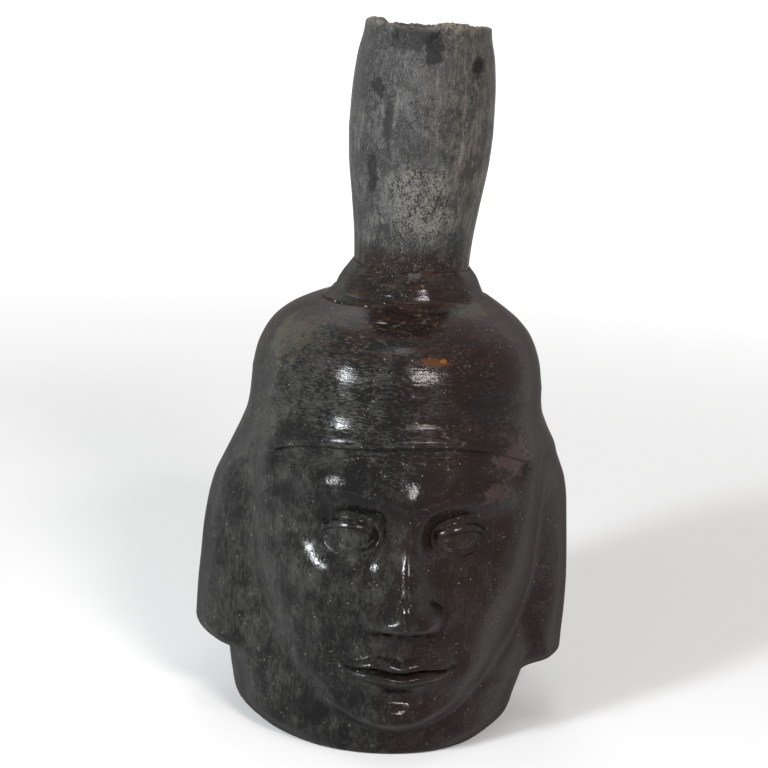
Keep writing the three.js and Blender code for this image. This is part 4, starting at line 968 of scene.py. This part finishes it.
def worn_clay():
    """The neck's matt charcoal clay, with faint streaks, a worn patch, dark drips, a dark root and painted
    shade down its left side.
    """
    clay = Clay("worn_clay")
    between, times, plus, noise, coat = clay.between, clay.times, clay.plus, clay.noise, clay.coat
    upright = noise(2.6, 4, 0.62, stretch=(1, 1, 6), distortion=0.8)
    streaks = noise(1, 4, 0.68, stretch=(1, 1, 11), distortion=0.4, offset=31)
    cloud = noise(9, 6, 0.68, distortion=0.4)
    mottle = noise(2.2, 6, 0.72)
    grain = noise(0.5, 3, 0.6)
    right = between(plus(clay.x, (cloud, 16)), *NECK_RIGHT_ZONE)
    # Painted shade: the neck's left side is coloured darker, standing in for the shading and dark
    # reflections there
    left = times(between(clay.x, *NECK_LEFT_SHADE_ZONE), -0.07)
    clay.colour = clay.paint(times(right, 0.8), NECK_GREY, NECK_WARM)

    # Darker clouds, with painted shade that darkens the left side, pale streaks and flecks, and the worn
    # patch in the middle
    shade = plus((cloud, 0.7), (upright, 0.3), (mottle, 0.2), left)
    coat(NECK_DARK, between(shade, 0.66, 0.52), 0.8)
    pale = plus(streaks, (cloud, 0.5), (right, 0.05))
    coat(NECK_PALE, between(pale, 0.8, 0.95), 0.45)
    speckled = plus(grain, (mottle, 0.5))
    coat(NECK_PALE, between(speckled, 0.74, 0.9), 0.3)
    middle = clay.patch(*WORN_PATCH)
    worn = between(plus(grain, (mottle, 0.6), (upright, 0.3)), 0.88, 1.04)
    coat(NECK_PALE, middle, worn, 0.6)
    pitted = between(speckled, 0.7, 0.58)
    coat(NECK_BLACK, plus((middle, 0.6), 0.25), pitted)

    # The dark upper part, root and seam, with dust in the seam
    drips = between(plus(cloud, (upright, 0.3)), 0.66, 0.74)
    top = times(between(clay.z, *NECK_TOP_ZONE), drips)
    coat(NECK_DARK, top, 0.65)
    root = between(plus(clay.z, (cloud, 22)), *NECK_ROOT_ZONE)
    root = times(root, between(upright, 0.25, 0.5))
    coat(NECK_DARK, root, 0.9)
    coat(DARK_BROWN, between(plus(clay.z, (cloud, 10)), *NECK_SEAM_ZONE), 0.9)
    dust = between(plus(grain, (mottle, 0.7), (upright, 0.3)), 1.06, 1.14)
    coat(NECK_PALE, between(clay.z, *NECK_DUST_ZONE), dust, 0.3)
    clay.marks(NECK_MARKS)
    coat(PALE_DUST, between(noise(0.7, 3, 0.6, offset=7), 0.69, 0.73), 0.7)
    coat(RIM_BUFF, between(clay.z, *NECK_RIM_ZONE), between(mottle, 0.4, 0.56), 0.6)

    rough = plus(0.4, (between(mottle, 0.4, 0.6), 0.2), (middle, 0.12), (root, -0.1))
    height = plus((upright, 0.4), (cloud, 1), (mottle, 0.5), (grain, 0.35), (pitted, -0.4), (top, 0.4),
                  (streaks, 0.25))
    return clay.finish(rough, height, *WORN_BUMP)


# The vessel
FACE_TURN = 36  # up to here on both sides of the face's middle the columns are closest together
polished, matt = burnished_clay(), worn_clay()
front_turns = spread((-90, 1.5), (-FLAP_FRONT_EDGE, 0.75), (-FACE_TURN, 0.5), (FACE_TURN, 0.75),
                     (FLAP_FRONT_EDGE, 1.5), (90, 0))
front_turns = with_pairs(front_turns, [-FLAP_FRONT_EDGE, FLAP_FRONT_EDGE])
front_turns = front_turns[(front_turns >= -90) & (front_turns <= 90)]
rear_turns = spread((90, 2), (FLAP_BACK_EDGE, 0.8), (360 - FLAP_BACK_EDGE, 2), (270, 0))
rear_turns = with_pairs(rear_turns, [FLAP_BACK_EDGE, 360 - FLAP_BACK_EDGE])
shell_skin("face_shell", front_turns, polished)
shell_skin("rear_shell", rear_turns, polished)
flap_skin("side_flap_left", -1, LEFT_LOW, polished)
flap_skin("side_flap_right", 1, RIGHT_LOW, polished)
floor_skin(polished)
collar_skin(polished)
neck_skin(matt)


# Studio: a pale floor, soft lamps and a white surround
FLOOR_REACH = 12.0
SHADOW_REACH, FLOOR_GLOW = (0.1, 1.8), (0.1, 1)
WORLD_LIGHT = 0.3
# Lamps: name, azimuth, elevation, distance, width, height, power and colour
LAMPS = (
    ("key_left", -47, 22, 1.1, 0.13, 0.13, 9, (0.93, 0.97, 1)),
    ("key_soft", -47, 22, 1.15, 0.32, 0.32, 3.5, (0.9, 0.96, 1)),
    ("warm_right", 15, 30, 1.2, 0.32, 0.1, 7.5, (1, 0.93, 0.92)),
    ("top", 0, 72, 1.2, 0.3, 0.3, 1.5, (1, 1, 1)),
    ("back_soft", 178, 50, 1.4, 0.9, 0.9, 2.5, (1, 1, 1)),
)


def studio_floor():
    bpy.ops.mesh.primitive_circle_add(vertices=128, radius=FLOOR_REACH, fill_type="NGON")
    floor = bpy.context.object
    floor.name = "studio_floor"
    paper = bpy.data.materials.new("studio_paper")
    nodes = Nodes(paper)
    place = nodes.node("ShaderNodeTexCoord").outputs["Object"]
    glow = nodes.between(nodes.vector("LENGTH", place), *SHADOW_REACH, *FLOOR_GLOW)
    shader = nodes.tree.nodes["Principled BSDF"]
    shader.inputs["Base Color"].default_value = (0.84, 0.84, 0.83, 1)
    shader.inputs["Roughness"].default_value = 0.9
    shader.inputs["Specular IOR Level"].default_value = 0.1
    shader.inputs["Emission Color"].default_value = (1, 1, 1, 1)
    nodes.feed(shader.inputs["Emission Strength"], nodes.math("MULTIPLY", glow, white_rays(nodes)))
    floor.data.materials.append(paper)


def white_rays(nodes):
    """1 for rays from the camera, a reflection or a transmission."""
    rays = nodes.node("ShaderNodeLightPath").outputs
    mirrored = nodes.math("MAXIMUM", rays["Is Camera Ray"], rays["Is Glossy Ray"])
    return nodes.math("MAXIMUM", mirrored, rays["Is Transmission Ray"])


def white_world(light):
    """White to the eye and in reflections, with an even light on the object."""
    world = bpy.data.worlds.new("studio_world")
    bpy.context.scene.world = world
    nodes = Nodes(world)
    background = nodes.tree.nodes["Background"]
    background.inputs["Color"].default_value = (1, 1, 1, 1)
    level = nodes.node("ShaderNodeMapRange", Value=white_rays(nodes), To_Min=light, To_Max=1)
    nodes.feed(background.inputs["Strength"], level.outputs["Result"])


def lamp(name, azimuth, elevation, distance, width, height, power, colour):
    """A flat soft lamp that looks at the vessel's middle."""
    turn, lift = azimuth * DEGREE, elevation * DEGREE
    aim = Vector((0, 0, 0.5 * RIM_HEIGHT * MM))
    light = bpy.data.lights.new(name, "AREA")
    light.shape = "ELLIPSE"
    light.energy, light.size, light.size_y, light.color = power, width, height, colour
    stand = bpy.data.objects.new(name, light)
    away = Vector((math.sin(turn) * math.cos(lift), -math.cos(turn) * math.cos(lift), math.sin(lift)))
    stand.location = aim + distance * away
    stand.rotation_mode = "QUATERNION"
    stand.rotation_quaternion = (aim - stand.location).to_track_quat("-Z", "Y")
    bpy.context.scene.collection.objects.link(stand)


def set_camera():
    """The photograph's own place and lens, worked out from the vessel's outline."""
    azimuth, distance, height = -7 * DEGREE, 0.694, 0.278
    pitch, roll, shift = 12.75 * DEGREE, 4 * DEGREE, -0.0045
    camera = bpy.data.cameras.new("camera")
    camera.lens, camera.sensor_width = 93.5, 36
    stand = bpy.data.objects.new("camera", camera)
    back = Vector((distance * math.sin(azimuth), -distance * math.cos(azimuth), height))
    stand.location = back + shift * Vector((math.cos(azimuth), math.sin(azimuth), 0))
    level = math.cos(pitch)
    ahead = Vector((-math.sin(azimuth) * level, math.cos(azimuth) * level, -math.sin(pitch)))
    stand.rotation_mode = "QUATERNION"
    stand.rotation_quaternion = ahead.to_track_quat("-Z", "Y") @ Quaternion((0, 0, 1), roll)
    bpy.context.scene.collection.objects.link(stand)
    bpy.context.scene.camera = stand


studio_floor()
white_world(WORLD_LIGHT)
for row in LAMPS:
    lamp(*row)
set_camera()
bpy.context.scene.view_settings.view_transform = "Standard"
